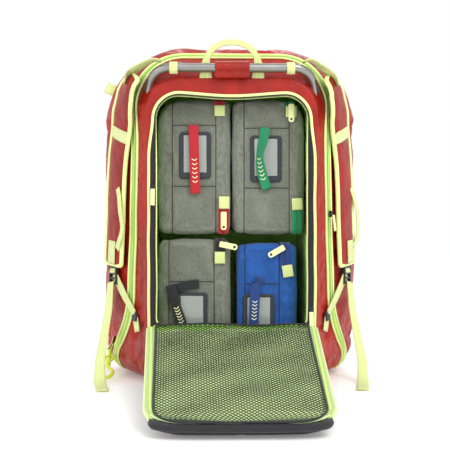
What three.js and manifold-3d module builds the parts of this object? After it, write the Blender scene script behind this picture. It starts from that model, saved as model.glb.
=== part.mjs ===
// Trauma backpack standing open: a flared, coated-fabric pack with an aluminium carry frame,
// a fold-down door on the harness side and four removable module pouches inside.
// Millimetres, +Z up, harness side towards -Y, origin at the centre of the flat base.

import * as THREE from 'three';
import { mergeVertices } from 'three/addons/utils/BufferGeometryUtils.js';
import Module from 'manifold-3d';

const wasm = await Module();
wasm.setup();

// ---- driving dimensions -------------------------------------------------------------------

const HEIGHT = 604;            // base to the top of the dome
const WIDTH = 462;             // widest, two thirds of the way back
const DEPTH = 235;             // harness face to rear face
const FRONT = -115;            // plane of the harness face
const WALL = 7;                // foam-backed fabric wall
const LINER = 1.5;             // lining cloth
const SEAM = 0.3;              // gap between pieces that are sewn or pressed together

const OPENING_HALF = 134;      // half the clear width of the main opening
const OPENING_TOP = 507;
const SILL = 103;              // top of the wall below the opening
const OPENING_CORNER = 42;
const TAPE_WIDTH = 7;          // black zipper tape around the opening
const CORD_RADIUS = 2.2;       // cord inside the piping

const TUBE_RADIUS = 8;
const BAR_HEIGHT = HEIGHT - 51; // centre of the cross bar
const BAR_OUT = 11;            // bar centre in front of the harness face

const MODULE_GAP = 4;          // between the two columns of pouches
const ROW_GAP = 8;             // between the two rows
const MODULE_DEPTH = 150;
const MODULE_SETBACK = 35;     // pouch faces behind the harness face
const FLOOR_GAP = 5;           // lower pouches above the base wall
const LOWER_TOP = 256;         // top of the lower row

const DOOR_PAD = 14;           // foam back pad on the door
const DOOR_SKIN = 5;
const DOOR_MESH = 3;
const DOOR_LENGTH = 405;
const DOOR_PROUD = 6;          // door's inner face in front of the harness face, when shut
const HINGE_DROP = 2;          // hinge line below the sill

const STRAP_WIDTH = 64;
const STRAP_THICK = 12;
const WEBBING = 20;            // adjuster webbing width
const WEBBING_THICK = 2;
const HANDLE_WEBBING = 26;

const DRAW = DEPTH / 235;      // depth scale of the stations below
const BACK = FRONT + DEPTH;

// ---- finishes -----------------------------------------------------------------------------

const finish = (color, roughness, metalness = 0) => ({ color, roughness, metalness });
const RED = finish(0xc4222c, 0.38);
const HI_VIS = finish(0xe9f2a2, 0.75);
const LIME = finish(0x9fd44a, 0.7);
const BLACK = finish(0x17191d, 0.7);
const GREY = finish(0x74786c, 0.85);
const BLUE = finish(0x1f4fa6, 0.8);
const GREEN = finish(0x1c8f5f, 0.75);
const SCARLET = finish(0xc01f2e, 0.75);
const WINDOW = finish(0x9aa3a2, 0.25);
const ALUMINIUM = finish(0xb9bcc0, 0.35, 1);
const PLASTIC = finish(0x141518, 0.45);
const YELLOW = finish(0xd8e23a, 0.4);

const pack = new THREE.Group();

function add(name, geometry, look) {
  const mesh = new THREE.Mesh(geometry, new THREE.MeshStandardMaterial(look));
  mesh.name = name;
  pack.add(mesh);
  return mesh;
}

// ---- solids -------------------------------------------------------------------------------

const v = (x, y, z) => new THREE.Vector3(x, y, z);

function signedVolume(points, faces) {
  let sum = 0;
  for (const [a, b, c] of faces) sum += points[a].dot(points[b].clone().cross(points[c]));
  return sum / 6;
}

// Closed body through equal-count rings, with a fan at each end.
function loft(rings) {
  const count = rings[0].length;
  const points = rings.flat();
  const faces = [];
  for (let i = 0; i + 1 < rings.length; i += 1) {
    for (let j = 0; j < count; j += 1) {
      const k = (j + 1) % count;
      const [a, b] = [i * count + j, i * count + k];
      faces.push([a, b, b + count], [a, b + count, a + count]);
    }
  }
  for (const [row, turn] of [[0, 1], [rings.length - 1, -1]]) {
    const middle = rings[row].reduce((sum, p) => sum.add(p), v(0, 0, 0)).divideScalar(count);
    const centre = points.push(middle) - 1;
    for (let j = 0; j < count; j += 1) {
      const [a, b] = [row * count + j, row * count + (j + 1) % count];
      faces.push(turn > 0 ? [centre, b, a] : [centre, a, b]);
    }
  }
  const flip = signedVolume(points, faces) < 0;
  const geometry = new THREE.BufferGeometry();
  geometry.setAttribute('position', new THREE.Float32BufferAttribute(
    points.flatMap((p) => [p.x, p.y, p.z]), 3));
  geometry.setIndex(faces.flatMap(([a, b, c]) => (flip ? [a, c, b] : [a, b, c])));
  return geometry;
}

function solid(source) {
  const bare = source.clone();
  bare.deleteAttribute('normal');
  bare.deleteAttribute('uv');
  const merged = mergeVertices(bare, 1e-4);
  return new wasm.Manifold(new wasm.Mesh({
    numProp: 3,
    vertProperties: new Float32Array(merged.attributes.position.array),
    triVerts: new Uint32Array(merged.index.array),
  }));
}

function geometryOf(manifold) {
  const mesh = manifold.getMesh();
  const geometry = new THREE.BufferGeometry();
  geometry.setAttribute('position', new THREE.BufferAttribute(mesh.vertProperties, 3));
  geometry.setIndex(new THREE.BufferAttribute(mesh.triVerts, 1));
  return geometry;
}

function block(low, high) {
  const geometry = new THREE.BoxGeometry(high.x - low.x, high.y - low.y, high.z - low.z);
  return geometry.translate((low.x + high.x) / 2, (low.y + high.y) / 2, (low.z + high.z) / 2);
}

const slab = (low, high) => solid(block(low, high));

// Rounded rectangle in the XZ plane at depth y; radii run top right, top left, bottom left,
// bottom right, each corner drawn with the same number of points.
function outline(y, left, right, bottom, top, radii, steps = 6) {
  const corners = [
    [right - radii[0], top - radii[0], 0],
    [left + radii[1], top - radii[1], 1],
    [left + radii[2], bottom + radii[2], 2],
    [right - radii[3], bottom + radii[3], 3],
  ];
  const ring = [];
  corners.forEach(([cx, cz, quarter], index) => {
    for (let i = 0; i <= steps; i += 1) {
      const angle = (quarter + i / steps) * Math.PI / 2;
      ring.push(v(cx + radii[index] * Math.cos(angle), y, cz + radii[index] * Math.sin(angle)));
    }
  });
  return ring;
}

// Straight prism between two depths with the outline given.
function plate(y0, y1, left, right, bottom, top, radii, steps = 6) {
  return loft([y0, y1].map((y) => outline(y, left, right, bottom, top, radii, steps)));
}

// Flat strip swept along points; `across` gives the width direction at each point.
function ribbon(points, across, width, thick) {
  const rings = points.map((p, i) => {
    const before = points[Math.max(i - 1, 0)];
    const after = points[Math.min(i + 1, points.length - 1)];
    const along = after.clone().sub(before).normalize();
    const side = across[i].clone().addScaledVector(along, -across[i].dot(along)).normalize();
    const up = along.clone().cross(side);
    return [[1, 1], [-1, 1], [-1, -1], [1, -1]].map(([a, b]) => p.clone()
      .addScaledVector(side, a * width / 2).addScaledVector(up, b * thick / 2));
  });
  return loft(rings);
}

function tubeAlong(points, radius, steps, sides = 10) {
  const section = new THREE.Shape();
  section.absarc(0, 0, radius, 0, Math.PI * 2, false);
  const path = new THREE.CatmullRomCurve3(points, false, 'centripetal');
  return new THREE.ExtrudeGeometry(section, {
    steps, extrudePath: path, bevelEnabled: false, curveSegments: sides / 2,
  });
}

// ---- the pack's outer form ----------------------------------------------------------------

const HALF = WIDTH / 2;
const FRONT_HALF = 150;        // half width at the harness face
const FRONT_TOP = HEIGHT - 66; // the top slopes up from the harness face

const FLARE = HALF - FRONT_HALF;

// Distance behind the harness face, half width, base lift, top, upper and lower corner radii.
const STATIONS = [
  [0, FRONT_HALF, 6, FRONT_TOP, 62, 40],
  [20, FRONT_HALF + FLARE * 12 / 81, 0, HEIGHT - 44, 75, 45],
  [42, FRONT_HALF + FLARE * 24 / 81, 0, HEIGHT - 26, 90, 50],
  [90, FRONT_HALF + FLARE * 55 / 81, 0, HEIGHT - 3, 115, 58],
  [140, HALF, 0, HEIGHT, 130, 62],
  [195, HALF, 0, HEIGHT - 6, 130, 62],
  [222, HALF - 9, 4, HEIGHT - 18, 122, 55],
  [235, HALF - 31, 16, HEIGHT - 42, 105, 45],
];

function stationAt(depth) {
  let i = 0;
  while (i < STATIONS.length - 2 && STATIONS[i + 1][0] < depth) i += 1;
  const [a, b] = [STATIONS[i], STATIONS[i + 1]];
  const t = (depth - a[0]) / (b[0] - a[0]);
  return a.map((value, k) => THREE.MathUtils.lerp(value, b[k], t));
}

// Ring of the pack's skin at a depth, moved outwards by `grow`.
function packRing(depth, grow) {
  const [, half, lift, top, upper, lower] = stationAt(depth);
  const big = upper + grow;
  const small = lower + grow;
  return outline(FRONT + depth * DRAW, -half - grow, half + grow, lift - grow, top + grow,
    [big, big, small, small]);
}

// Whole form grown by `grow`, its front and rear ends moved by `ends`.
function packForm(grow, ends = grow) {
  const inner = STATIONS.slice(1, -1).map(([depth]) => packRing(depth, grow));
  const first = packRing(0, grow).map((p) => p.setY(FRONT - ends));
  const last = packRing(DEPTH / DRAW, grow).map((p) => p.setY(BACK + ends));
  return solid(loft([first, ...inner, last]));
}

const skinX = (y, z) => {
  const [, half, lift, top, upper, lower] = stationAt((y - FRONT) / DRAW);
  let x = half;
  if (z > top - upper) x = half - upper + Math.sqrt(upper ** 2 - (z - top + upper) ** 2);
  if (z < lift + lower) x = half - lower + Math.sqrt(lower ** 2 - (lift + lower - z) ** 2);
  return x;
};
const skinTop = (y) => stationAt((y - FRONT) / DRAW)[3];

const far = 900;               // well outside every solid
const shell = packForm(0).subtract(packForm(-WALL, -WALL - 1));

function openingPrism(grow, y0, y1) {
  const corner = OPENING_CORNER + grow;
  return solid(plate(y0, y1, -OPENING_HALF - grow, OPENING_HALF + grow, SILL - grow,
    OPENING_TOP + grow, [corner, corner, 12, 12]));
}

// ---- carry frame --------------------------------------------------------------------------

const BAR_Y = FRONT - BAR_OUT;
const LEG_X = FRONT_HALF - 2;
const LEG_Y = FRONT + 30;
const LEG_FOOT = 32;
const BEND_TOP = BAR_HEIGHT - 10;

function framePath() {
  const right = [
    v(LEG_X, LEG_Y, LEG_FOOT),
    v(LEG_X, LEG_Y, 250),
    v(LEG_X, LEG_Y, 440),
    v(LEG_X, LEG_Y - 2, BAR_HEIGHT - 60),
    v(LEG_X - 2, LEG_Y - 14, BAR_HEIGHT - 30),
    v(LEG_X - 12, LEG_Y - 32, BEND_TOP),
    v(LEG_X - 34, BAR_Y, BAR_HEIGHT),
    v(LEG_X - 70, BAR_Y, BAR_HEIGHT),
  ];
  const left = right.map((p) => v(-p.x, p.y, p.z)).reverse();
  return [...right, v(0, BAR_Y, BAR_HEIGHT), ...left];
}

add('carry_frame_tube', tubeAlong(framePath(), TUBE_RADIUS, 72), ALUMINIUM);
const tubeClearance = solid(tubeAlong(framePath(), TUBE_RADIUS + 0.6, 72));

// Fabric sleeve round the middle of the bar.
const SLEEVE_HALF = 30;
const sleeve = solid(plate(0, SLEEVE_HALF * 2, -11, 11, -17, 16, [9, 9, 9, 9], 4)
  .rotateZ(Math.PI / 2).translate(SLEEVE_HALF, BAR_Y, BAR_HEIGHT)).subtract(tubeClearance);
add('bar_sleeve', geometryOf(sleeve), RED);

// Hi-vis webbing wrapped round each end of the bar.
for (const [side, sign] of [['left', -1], ['right', 1]]) {
  const centre = sign * (LEG_X - 46);
  const wrap = solid(plate(0, 14, -11, 11, -11, 11, [10, 10, 10, 10], 4)
    .rotateZ(Math.PI / 2).translate(centre + 7, BAR_Y, BAR_HEIGHT)).subtract(tubeClearance);
  add(`bar_loop_${side}`, geometryOf(wrap), HI_VIS);
}

// ---- sewn panels of the pack --------------------------------------------------------------

const RIM_BACK = FRONT + WALL + 4;      // seam between the rim and the wrap-round panels
const REAR_SEAM = BACK - 25;
const BASE_SEAM = 68;
const TOP_SEAM = HEIGHT - 136;

function region(y0, y1, z0, z1, x0 = -far, x1 = far) {
  return slab(v(x0, y0, z0), v(x1, y1, z1));
}

const rimShell = shell.subtract(openingPrism(0, FRONT - 20, RIM_BACK + 1));
const frontZone = [-far, RIM_BACK - SEAM];
const middleZone = [RIM_BACK, REAR_SEAM - SEAM];
const panels = {
  opening_rim: region(...frontZone, SILL + SEAM, far),
  lower_front_panel: region(...frontZone, -far, SILL),
  rear_panel: region(REAR_SEAM, far, -far, far),
  base_panel: region(...middleZone, -far, BASE_SEAM - SEAM),
  top_panel: region(...middleZone, TOP_SEAM, far),
  side_panel_left: region(...middleZone, BASE_SEAM, TOP_SEAM - SEAM, -far, 0),
  side_panel_right: region(...middleZone, BASE_SEAM, TOP_SEAM - SEAM, 0, far),
};
for (const [name, zone] of Object.entries(panels)) {
  add(name, geometryOf(rimShell.intersect(zone).subtract(tubeClearance)), RED);
}

// Lining cloth, an open-fronted tub just inside the walls.
const linerFront = RIM_BACK + 1;
const liner = packForm(-WALL - SEAM, -WALL - 2)
  .subtract(packForm(-WALL - SEAM - LINER, -WALL - 2 - LINER))
  .subtract(region(-far, linerFront, -far, far)).subtract(tubeClearance);
add('compartment_liner', geometryOf(liner), LIME);

// Padded walls between the main compartment and the pockets in the flared sides.
const DIVIDER = { x: OPENING_HALF + 1.5, thick: 3.5, top: OPENING_TOP + 8 };
const insideLining = packForm(-WALL - LINER - 2 * SEAM, -WALL - 2 - LINER - SEAM);
for (const [side, sign] of [['left', -1], ['right', 1]]) {
  const near = sign > 0 ? DIVIDER.x : -DIVIDER.x - DIVIDER.thick;
  const wall = region(linerFront + 1, BACK, 0, DIVIDER.top, near, near + DIVIDER.thick);
  add(`divider_wall_${side}`, geometryOf(wall.intersect(insideLining).subtract(tubeClearance)), LIME);
}

// Zipper tape and corded piping round the opening, on the face of the rim.
function openingBand(inner, outer, y0, y1) {
  return openingPrism(outer, y0, y1).subtract(openingPrism(inner, y0 - 1, y1 + 1))
    .subtract(region(-far, far, -far, SILL + 2));
}
const tapeFace = FRONT - SEAM;
add('opening_zip_tape', geometryOf(openingBand(1, TAPE_WIDTH + 1, tapeFace - 1.2, tapeFace)), BLACK);
const pipeIn = TAPE_WIDTH + 2.5;
add('opening_piping', geometryOf(
  openingBand(pipeIn, pipeIn + CORD_RADIUS * 2, tapeFace - CORD_RADIUS * 1.6, tapeFace)), HI_VIS);

// Wide hi-vis zipper that runs up one side, over the top and down the other side.
const BAND_WIDTH = 18;
const BAND_THICK = 2;
const BAND_PATH = [
  [113, 44], [82, 62], [58, 105], [48, 150], [41, 280], [36, HEIGHT - 174], [44, HEIGHT - 84],
  [57, HEIGHT - 4], [57, HEIGHT + 96],
];
function bandPrism() {
  const curve = new THREE.CatmullRomCurve3(
    BAND_PATH.map(([depth, z]) => v(0, FRONT + depth, z)), false, 'centripetal');
  const points = curve.getPoints(26);
  return solid(ribbon(points, points.map(() => v(1, 0, 0)), 2 * far, BAND_WIDTH));
}
const onSkin = (grow) => packForm(grow + SEAM).subtract(packForm(SEAM));
const zipBand = onSkin(BAND_THICK).intersect(bandPrism()).subtract(tubeClearance)
  .subtract(region(-far, far, -far, 36));
add('expansion_zip_band', geometryOf(zipBand), HI_VIS);

// ---- outer pocket on the rear face --------------------------------------------------------

const POCKET = { half: 150, bottom: 70, top: 400, deep: 34 };
const pocketRings = [[SEAM, 0], [POCKET.deep * 0.6, 2], [POCKET.deep, 22]].map(([out, inset]) => outline(
  BACK + out, -POCKET.half + inset, POCKET.half - inset, POCKET.bottom + inset,
  POCKET.top - inset, [40, 40, 30, 30]));
const pocketSolid = solid(loft(pocketRings));
add('rear_pocket', geometryOf(pocketSolid), RED);
const POCKET_ZIP_Z = 352;
const pocketZip = plate(BACK + POCKET.deep + SEAM, BACK + POCKET.deep + 2.3, -110, 110,
  POCKET_ZIP_Z - 9, POCKET_ZIP_Z + 9, [3, 3, 3, 3], 3);
add('rear_pocket_zip', pocketZip, HI_VIS);

// ---- small zipper hardware ----------------------------------------------------------------

// Slider body lying on a face that looks towards -Y, its centre at the origin.
function sliderBody() {
  return plate(-2.5, 2.5, -4.5, 4.5, -6, 6, [3, 3, 2, 2], 3);
}

// Pull tab hanging from the origin, with a hole near its lower end.
const PULL = { half: 5.2, long: 31, hole: 2.4, thick: 1 };
function pullTab() {
  const { half, long, hole, thick } = PULL;
  const tab = solid(plate(-thick, thick, -half, half, -long, 1.5, [2, 2, half - 1, half - 1], 3));
  const centre = half - long;
  const bore = [hole - 0.1, hole - 0.1, hole - 0.1, hole - 0.1];
  return geometryOf(tab.subtract(
    solid(plate(-2 * thick, 2 * thick, -hole, hole, centre - hole, centre + hole, bore, 3))));
}

// ---- module pouches -----------------------------------------------------------------------

const FACE_Y = FRONT + MODULE_SETBACK;
const MODULE_BACK = FACE_Y + MODULE_DEPTH;
const LOWER_BOTTOM = WALL + FLOOR_GAP;
const UPPER_BOTTOM = LOWER_TOP + ROW_GAP;
const CLEAR = 3;                         // pouch to the opening's edge
const UPPER_TOP = OPENING_TOP - 2;
const OUTER_X = OPENING_HALF - CLEAR;
const INNER_X = MODULE_GAP / 2;
const SOFT = 14;                         // rounding of a pouch's edges
const BIG = OPENING_CORNER - 5;          // rounding where a pouch meets the opening's corner
const SLUMP = 20;                        // a lower pouch's top drops this much towards the back
const PANE = { wide: 54, tall: 82, thick: 2 };
const GRIP = { half: 9, thick: 2.5, out: 3 };

// x and z extents, corner radii, slump; seam height; handle's distance from the pouch's middle and
// its length; window's distance from the middle and drop below the seam; zipper slider's distance
// from the right edge, its height and the pull tab's lean in degrees.
const MODULES = [
  { name: 'upper_left', x: [-OUTER_X, -INNER_X], z: [UPPER_BOTTOM, UPPER_TOP],
    radii: [SOFT, BIG, SOFT, SOFT], slump: 0, look: GREY, trim: SCARLET,
    seam: 458, grip: [-2.5, 124], pane: [1.5, 12], zip: [12, 303, 0] },
  { name: 'upper_right', x: [INNER_X, OUTER_X], z: [UPPER_BOTTOM, UPPER_TOP],
    radii: [BIG, SOFT, SOFT, SOFT], slump: 0, look: GREY, trim: GREEN,
    seam: 452, grip: [-8.5, 106], pane: [-4.5, 12], zip: [24, 496, 0] },
  { name: 'lower_left', x: [-OUTER_X, -INNER_X], z: [LOWER_BOTTOM, LOWER_TOP],
    radii: [SOFT, SOFT, SOFT, SOFT], slump: SLUMP, look: GREY, trim: BLACK,
    seam: 177, grip: [-19.5, 70], pane: [-4.5, 18], zip: [18, 247, -78] },
  { name: 'lower_right', x: [INNER_X + 9, OUTER_X - 13], z: [LOWER_BOTTOM, LOWER_TOP - 8],
    radii: [SOFT, SOFT, SOFT, SOFT], slump: SLUMP - 8, look: BLUE, trim: BLUE,
    seam: 174, grip: [-24.5, 68], pane: [-15.5, 18], zip: [25, 241, 60] },
];

for (const m of MODULES) {
  const [left, right] = m.x;
  const [bottom, top] = m.z;
  const ring = (y, inset, drop) => outline(y, left + inset, right - inset, bottom + inset,
    top - inset - drop, m.radii, 5);
  add(`module_${m.name}_pouch`, loft([
    ring(FACE_Y, 7, 0),
    ring(FACE_Y + 2.5, 2.5, 0),
    ring(FACE_Y + 9, 0, 0),
    ring(MODULE_BACK - 9, 0, m.slump * 0.9),
    ring(MODULE_BACK, 7, m.slump),
  ]), m.look);

  const middle = (left + right) / 2;
  const paneX = middle + m.pane[0];
  const paneDrop = m.pane[1];
  const paneTop = m.seam - paneDrop;
  const paneY = FACE_Y - SEAM;
  const window = plate(paneY - PANE.thick, paneY, paneX - PANE.wide / 2, paneX + PANE.wide / 2,
    paneTop - PANE.tall, paneTop, [5, 5, 5, 5], 3);
  add(`module_${m.name}_window`, window, WINDOW);

  const gripY = paneY - PANE.thick - GRIP.out;
  const gripX = middle + m.grip[0];
  const gripLong = m.grip[1];
  add(`module_${m.name}_handle`, block(v(gripX - GRIP.half, gripY - GRIP.thick, m.seam - gripLong),
    v(gripX + GRIP.half, gripY, m.seam)), m.trim);

  const [zipIn, zipZ, lean] = m.zip;
  const zipX = right - zipIn;
  const zipY = FACE_Y - 3;
  add(`module_${m.name}_slider`, sliderBody().translate(zipX, zipY, zipZ), m.trim);
  const tab = pullTab().rotateY(THREE.MathUtils.degToRad(lean));
  add(`module_${m.name}_puller`, tab.translate(zipX, zipY - 4.8, zipZ - 1), HI_VIS);
}

// ---- fold-down door -----------------------------------------------------------------------

const DOOR_ANGLE = 101.6;               // from shut to lying open on the floor
const HINGE = v(0, FRONT - DOOR_PROUD - 1.5, SILL - HINGE_DROP);
const DOOR_ROOT_HALF = OPENING_HALF + 13;
const DOOR_TIP_HALF = OPENING_HALF - 4;

const door = new THREE.Group();
door.position.copy(HINGE);
door.rotation.x = THREE.MathUtils.degToRad(DOOR_ANGLE);
pack.add(door);

// Door outline in its own shut position: u runs up from the hinge, the face looks along Y.
function doorShape(root, tip, start, end, corner) {
  const shape = new THREE.Shape();
  shape.moveTo(-root, start);
  shape.lineTo(root, start);
  shape.lineTo(tip, end - corner);
  shape.absarc(tip - corner, end - corner, corner, 0, Math.PI / 2, false);
  shape.lineTo(corner - tip, end);
  shape.absarc(corner - tip, end - corner, corner, Math.PI / 2, Math.PI, false);
  shape.closePath();
  return shape;
}

function doorPlate(shape, outFrom, thick) {
  const geometry = new THREE.ExtrudeGeometry(shape, {
    depth: thick, bevelEnabled: false, curveSegments: 8,
  });
  return geometry.rotateX(Math.PI / 2).translate(0, -outFrom, 0);
}

function addToDoor(name, geometry, look) {
  const mesh = add(name, geometry, look);
  door.add(mesh);
}

const DOOR_START = 4;
const doorSkin = doorPlate(doorShape(DOOR_ROOT_HALF, DOOR_TIP_HALF, DOOR_START, DOOR_LENGTH, 56),
  0, DOOR_SKIN);
addToDoor('door_panel', doorSkin, BLACK);
addToDoor('door_back_pad', doorPlate(
  doorShape(DOOR_ROOT_HALF - 12, DOOR_TIP_HALF - 8, 18, DOOR_LENGTH - 8, 50),
  DOOR_SKIN + SEAM, DOOR_PAD), BLACK);
addToDoor('door_mesh_pocket', doorPlate(
  doorShape(OPENING_HALF - 3, DOOR_TIP_HALF - 20, DOOR_START + 4, DOOR_LENGTH - 19, 42),
  -SEAM - DOOR_MESH, DOOR_MESH), LIME);
const tapeOuter = solid(doorPlate(
  doorShape(DOOR_ROOT_HALF, DOOR_TIP_HALF, DOOR_START, DOOR_LENGTH, 56), -SEAM - 1.2, 1.2));
const tapeInner = solid(doorPlate(
  doorShape(OPENING_HALF, DOOR_TIP_HALF - 19, -20, DOOR_LENGTH - 18, 42), -5, 10));
addToDoor('door_zip_tape', geometryOf(tapeOuter.subtract(tapeInner)), HI_VIS);

// ---- main zipper sliders, parked on the rim -----------------------------------------------

const TRACK_X = OPENING_HALF + 1 + TAPE_WIDTH / 2;
for (const [side, sign, height] of [['left', -1, 345], ['right', 1, 130]]) {
  const body = plate(-1.6, 1.6, -4, 4, -7, 7, [3, 3, 2, 2], 3);
  body.translate(sign * TRACK_X, tapeFace - 1.2 - SEAM - 1.6, height);
  add(`main_slider_${side}`, body, BLACK);
}

// Slider of the expansion zipper, on the right-hand side of the pack.
const SIDE_SLIDER_Z = 300;
const sideSlider = plate(-5, 5, -6, 6, -9, 9, [3, 3, 2, 2], 3);
const sideSlope = Math.atan2(STATIONS[3][1] - STATIONS[2][1], STATIONS[3][0] - STATIONS[2][0]);
sideSlider.scale(1, 0.5, 1);
sideSlider.rotateZ(Math.PI / 2 - sideSlope);
sideSlider.translate(skinX(FRONT + 40, SIDE_SLIDER_Z) + 6.5, FRONT + 40 - 3.5, SIDE_SLIDER_Z);
add('expansion_slider', sideSlider, BLACK);

const rearSlider = plate(-2, 2, -7, 7, -5, 5, [2, 2, 2, 2], 3);
rearSlider.translate(-95, BACK + POCKET.deep + 2.3 + SEAM + 2, POCKET_ZIP_Z);
add('rear_slider', rearSlider, BLACK);

// ---- carry handle -------------------------------------------------------------------------

const HANDLE = { y: FRONT + 2, z: BAR_HEIGHT - 1, reach: 45, rise: 46 };
const handlePoints = [];
for (let i = 0; i <= 12; i += 1) {
  const angle = Math.PI * i / 12;
  const x = -HANDLE.reach * Math.cos(angle);
  const z = HANDLE.rise * Math.min(1, 1.35 * Math.sin(angle)) + 3;
  handlePoints.push(v(x, HANDLE.y, HANDLE.z + z));
}
const handleArch = ribbon(
  [v(-HANDLE.reach, HANDLE.y, HANDLE.z - 6), ...handlePoints, v(HANDLE.reach, HANDLE.y, HANDLE.z - 6)],
  Array(15).fill(v(0, 1, 0)), 4, HANDLE_WEBBING / 2);
add('carry_handle', handleArch, HI_VIS);

// ---- shoulder straps ----------------------------------------------------------------------

const STRAP_OFF = STRAP_THICK / 2 + 5;   // strap's middle above the pack's skin
// Distance behind the harness face, height and extra lift off the skin, from the top down.
const STRAP_ROUTE = [
  [38, 545, 15], [42, 522, 12], [50, 490, 7], [64, 450, 2], [78, 400, 0], [84, 340, 0],
  [86, 290, 0], [90, 235, 0],
];
const STRAP_HEEL = 208;                  // lower end of the pad
const LOCK = { tall: 34, wide: 30, thick: 7 };
const ANCHOR = { depth: 34, z: 117, size: 17 };

function slopeNormal(sign, y) {
  const step = skinX(y + 5, 300) - skinX(y - 5, 300);
  return v(sign * 10, -step, 0).normalize();
}

for (const [side, sign] of [['left', -1], ['right', 1]]) {
  const at = (depth, z, out) => {
    const y = FRONT + depth;
    const normal = slopeNormal(sign, y);
    const skin = v(sign * skinX(y, Math.min(z, skinTop(y) - 30)), y, z);
    return skin.addScaledVector(normal, out);
  };
  const points = STRAP_ROUTE.map(([depth, z, lift]) => at(depth, z, STRAP_OFF + lift));
  points.push(at(92, STRAP_HEEL, STRAP_OFF));
  const across = points.map((p) => slopeNormal(sign, p.y).cross(v(0, 0, 1)));
  add(`shoulder_pad_${side}`, ribbon(points, across, STRAP_WIDTH, STRAP_THICK), RED);

  const lockTop = STRAP_HEEL - 3;
  const lockAt = at(92, lockTop - LOCK.tall / 2, STRAP_OFF);
  const lockAcross = slopeNormal(sign, lockAt.y).cross(v(0, 0, 1));
  const lockBody = ribbon([v(0, 0, LOCK.tall / 2), v(0, 0, -LOCK.tall / 2)].map((p) => p.add(lockAt)),
    [lockAcross, lockAcross], LOCK.wide, LOCK.thick);
  add(`ladder_lock_${side}`, lockBody, PLASTIC);

  const anchorAt = at(ANCHOR.depth, ANCHOR.z, 2);
  const anchorAcross = slopeNormal(sign, anchorAt.y).cross(v(0, 0, 1));
  const anchorBody = ribbon([v(0, 0, ANCHOR.size / 2), v(0, 0, -ANCHOR.size / 2)]
    .map((p) => p.add(anchorAt)), [anchorAcross, anchorAcross], ANCHOR.size, 3);
  add(`strap_anchor_${side}`, anchorBody, BLACK);

  const from = at(89, lockTop - LOCK.tall - 10, STRAP_OFF);
  const to = at(ANCHOR.depth + 10, ANCHOR.z + 14, 6);
  const run = [0, 0.5, 1].map((t) => from.clone().lerp(to, t));
  add(`adjuster_webbing_${side}`, ribbon(run, run.map((p) => slopeNormal(sign, p.y)
    .cross(v(0, 0, 1))), WEBBING, WEBBING_THICK), HI_VIS);

  const tailTop = at(92, lockTop - LOCK.tall + 4, STRAP_OFF + LOCK.thick / 2 + 2.5);
  const tail = [
    tailTop,
    tailTop.clone().add(v(sign * 3, -14, -50)),
    tailTop.clone().add(v(sign * 9, -34, -100)),
    v(tailTop.x + sign * 13, tailTop.y - 52, 40),
    v(tailTop.x + sign * 12, tailTop.y - 68, 14),
    v(tailTop.x + sign * 8, tailTop.y - 92, 3),
    v(tailTop.x - sign * 2, tailTop.y - 150, 2.5),
  ];
  // The tail hangs along the slope of the pack, then turns to lie flat on the ground.
  const tailAcross = tail.map((p, i) => (i < 3 ? v(sign, 1.4 - i * 0.4, 0) : v(1, 0.1 * sign, 0)));
  add(`strap_tail_${side}`, ribbon(tail, tailAcross, WEBBING, WEBBING_THICK), HI_VIS);
}

// ---- D-ring and hook at the lower left ----------------------------------------------------

const RING = { radius: 11, wire: 2.4, y: FRONT + 114, z: 38 };
const ringX = -skinX(RING.y + RING.radius, RING.z) - 7;
const ring = new THREE.TorusGeometry(RING.radius, RING.wire, 8, 20);
ring.rotateY(Math.PI / 2).translate(ringX, RING.y, RING.z);
add('gear_ring', ring, YELLOW);

// Flat hook: an eye through the ring, a shank and a curled finger, leaning forward to the floor.
const HOOK = { eye: 7.4, wire: 2.4, body: 3.3, lean: 1.08 };
const hookPath = [[0, 8], [0, 22], [3, 30], [9, 38], [10, 46], [6, 54], [-3, 59]];
const hookBody = solid(tubeAlong(hookPath.map(([a, b]) => v(a, 0, -b)), HOOK.body, 22, 10));
const hookEye = solid(new THREE.TorusGeometry(HOOK.eye, HOOK.wire, 8, 20).rotateX(Math.PI / 2));
const hook = geometryOf(hookBody.add(hookEye));
const hangY = -Math.sin(HOOK.lean);
const hangZ = -Math.cos(HOOK.lean);
hook.rotateX(-HOOK.lean).translate(ringX, RING.y + hangY * (RING.radius + 2),
  RING.z + hangZ * (RING.radius + 2));
add('gear_hook', hook, YELLOW);

export default pack;
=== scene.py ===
import math

import bmesh
import bpy
from mathutils import Matrix, Vector, noise
from mathutils.bvhtree import BVHTree


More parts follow.
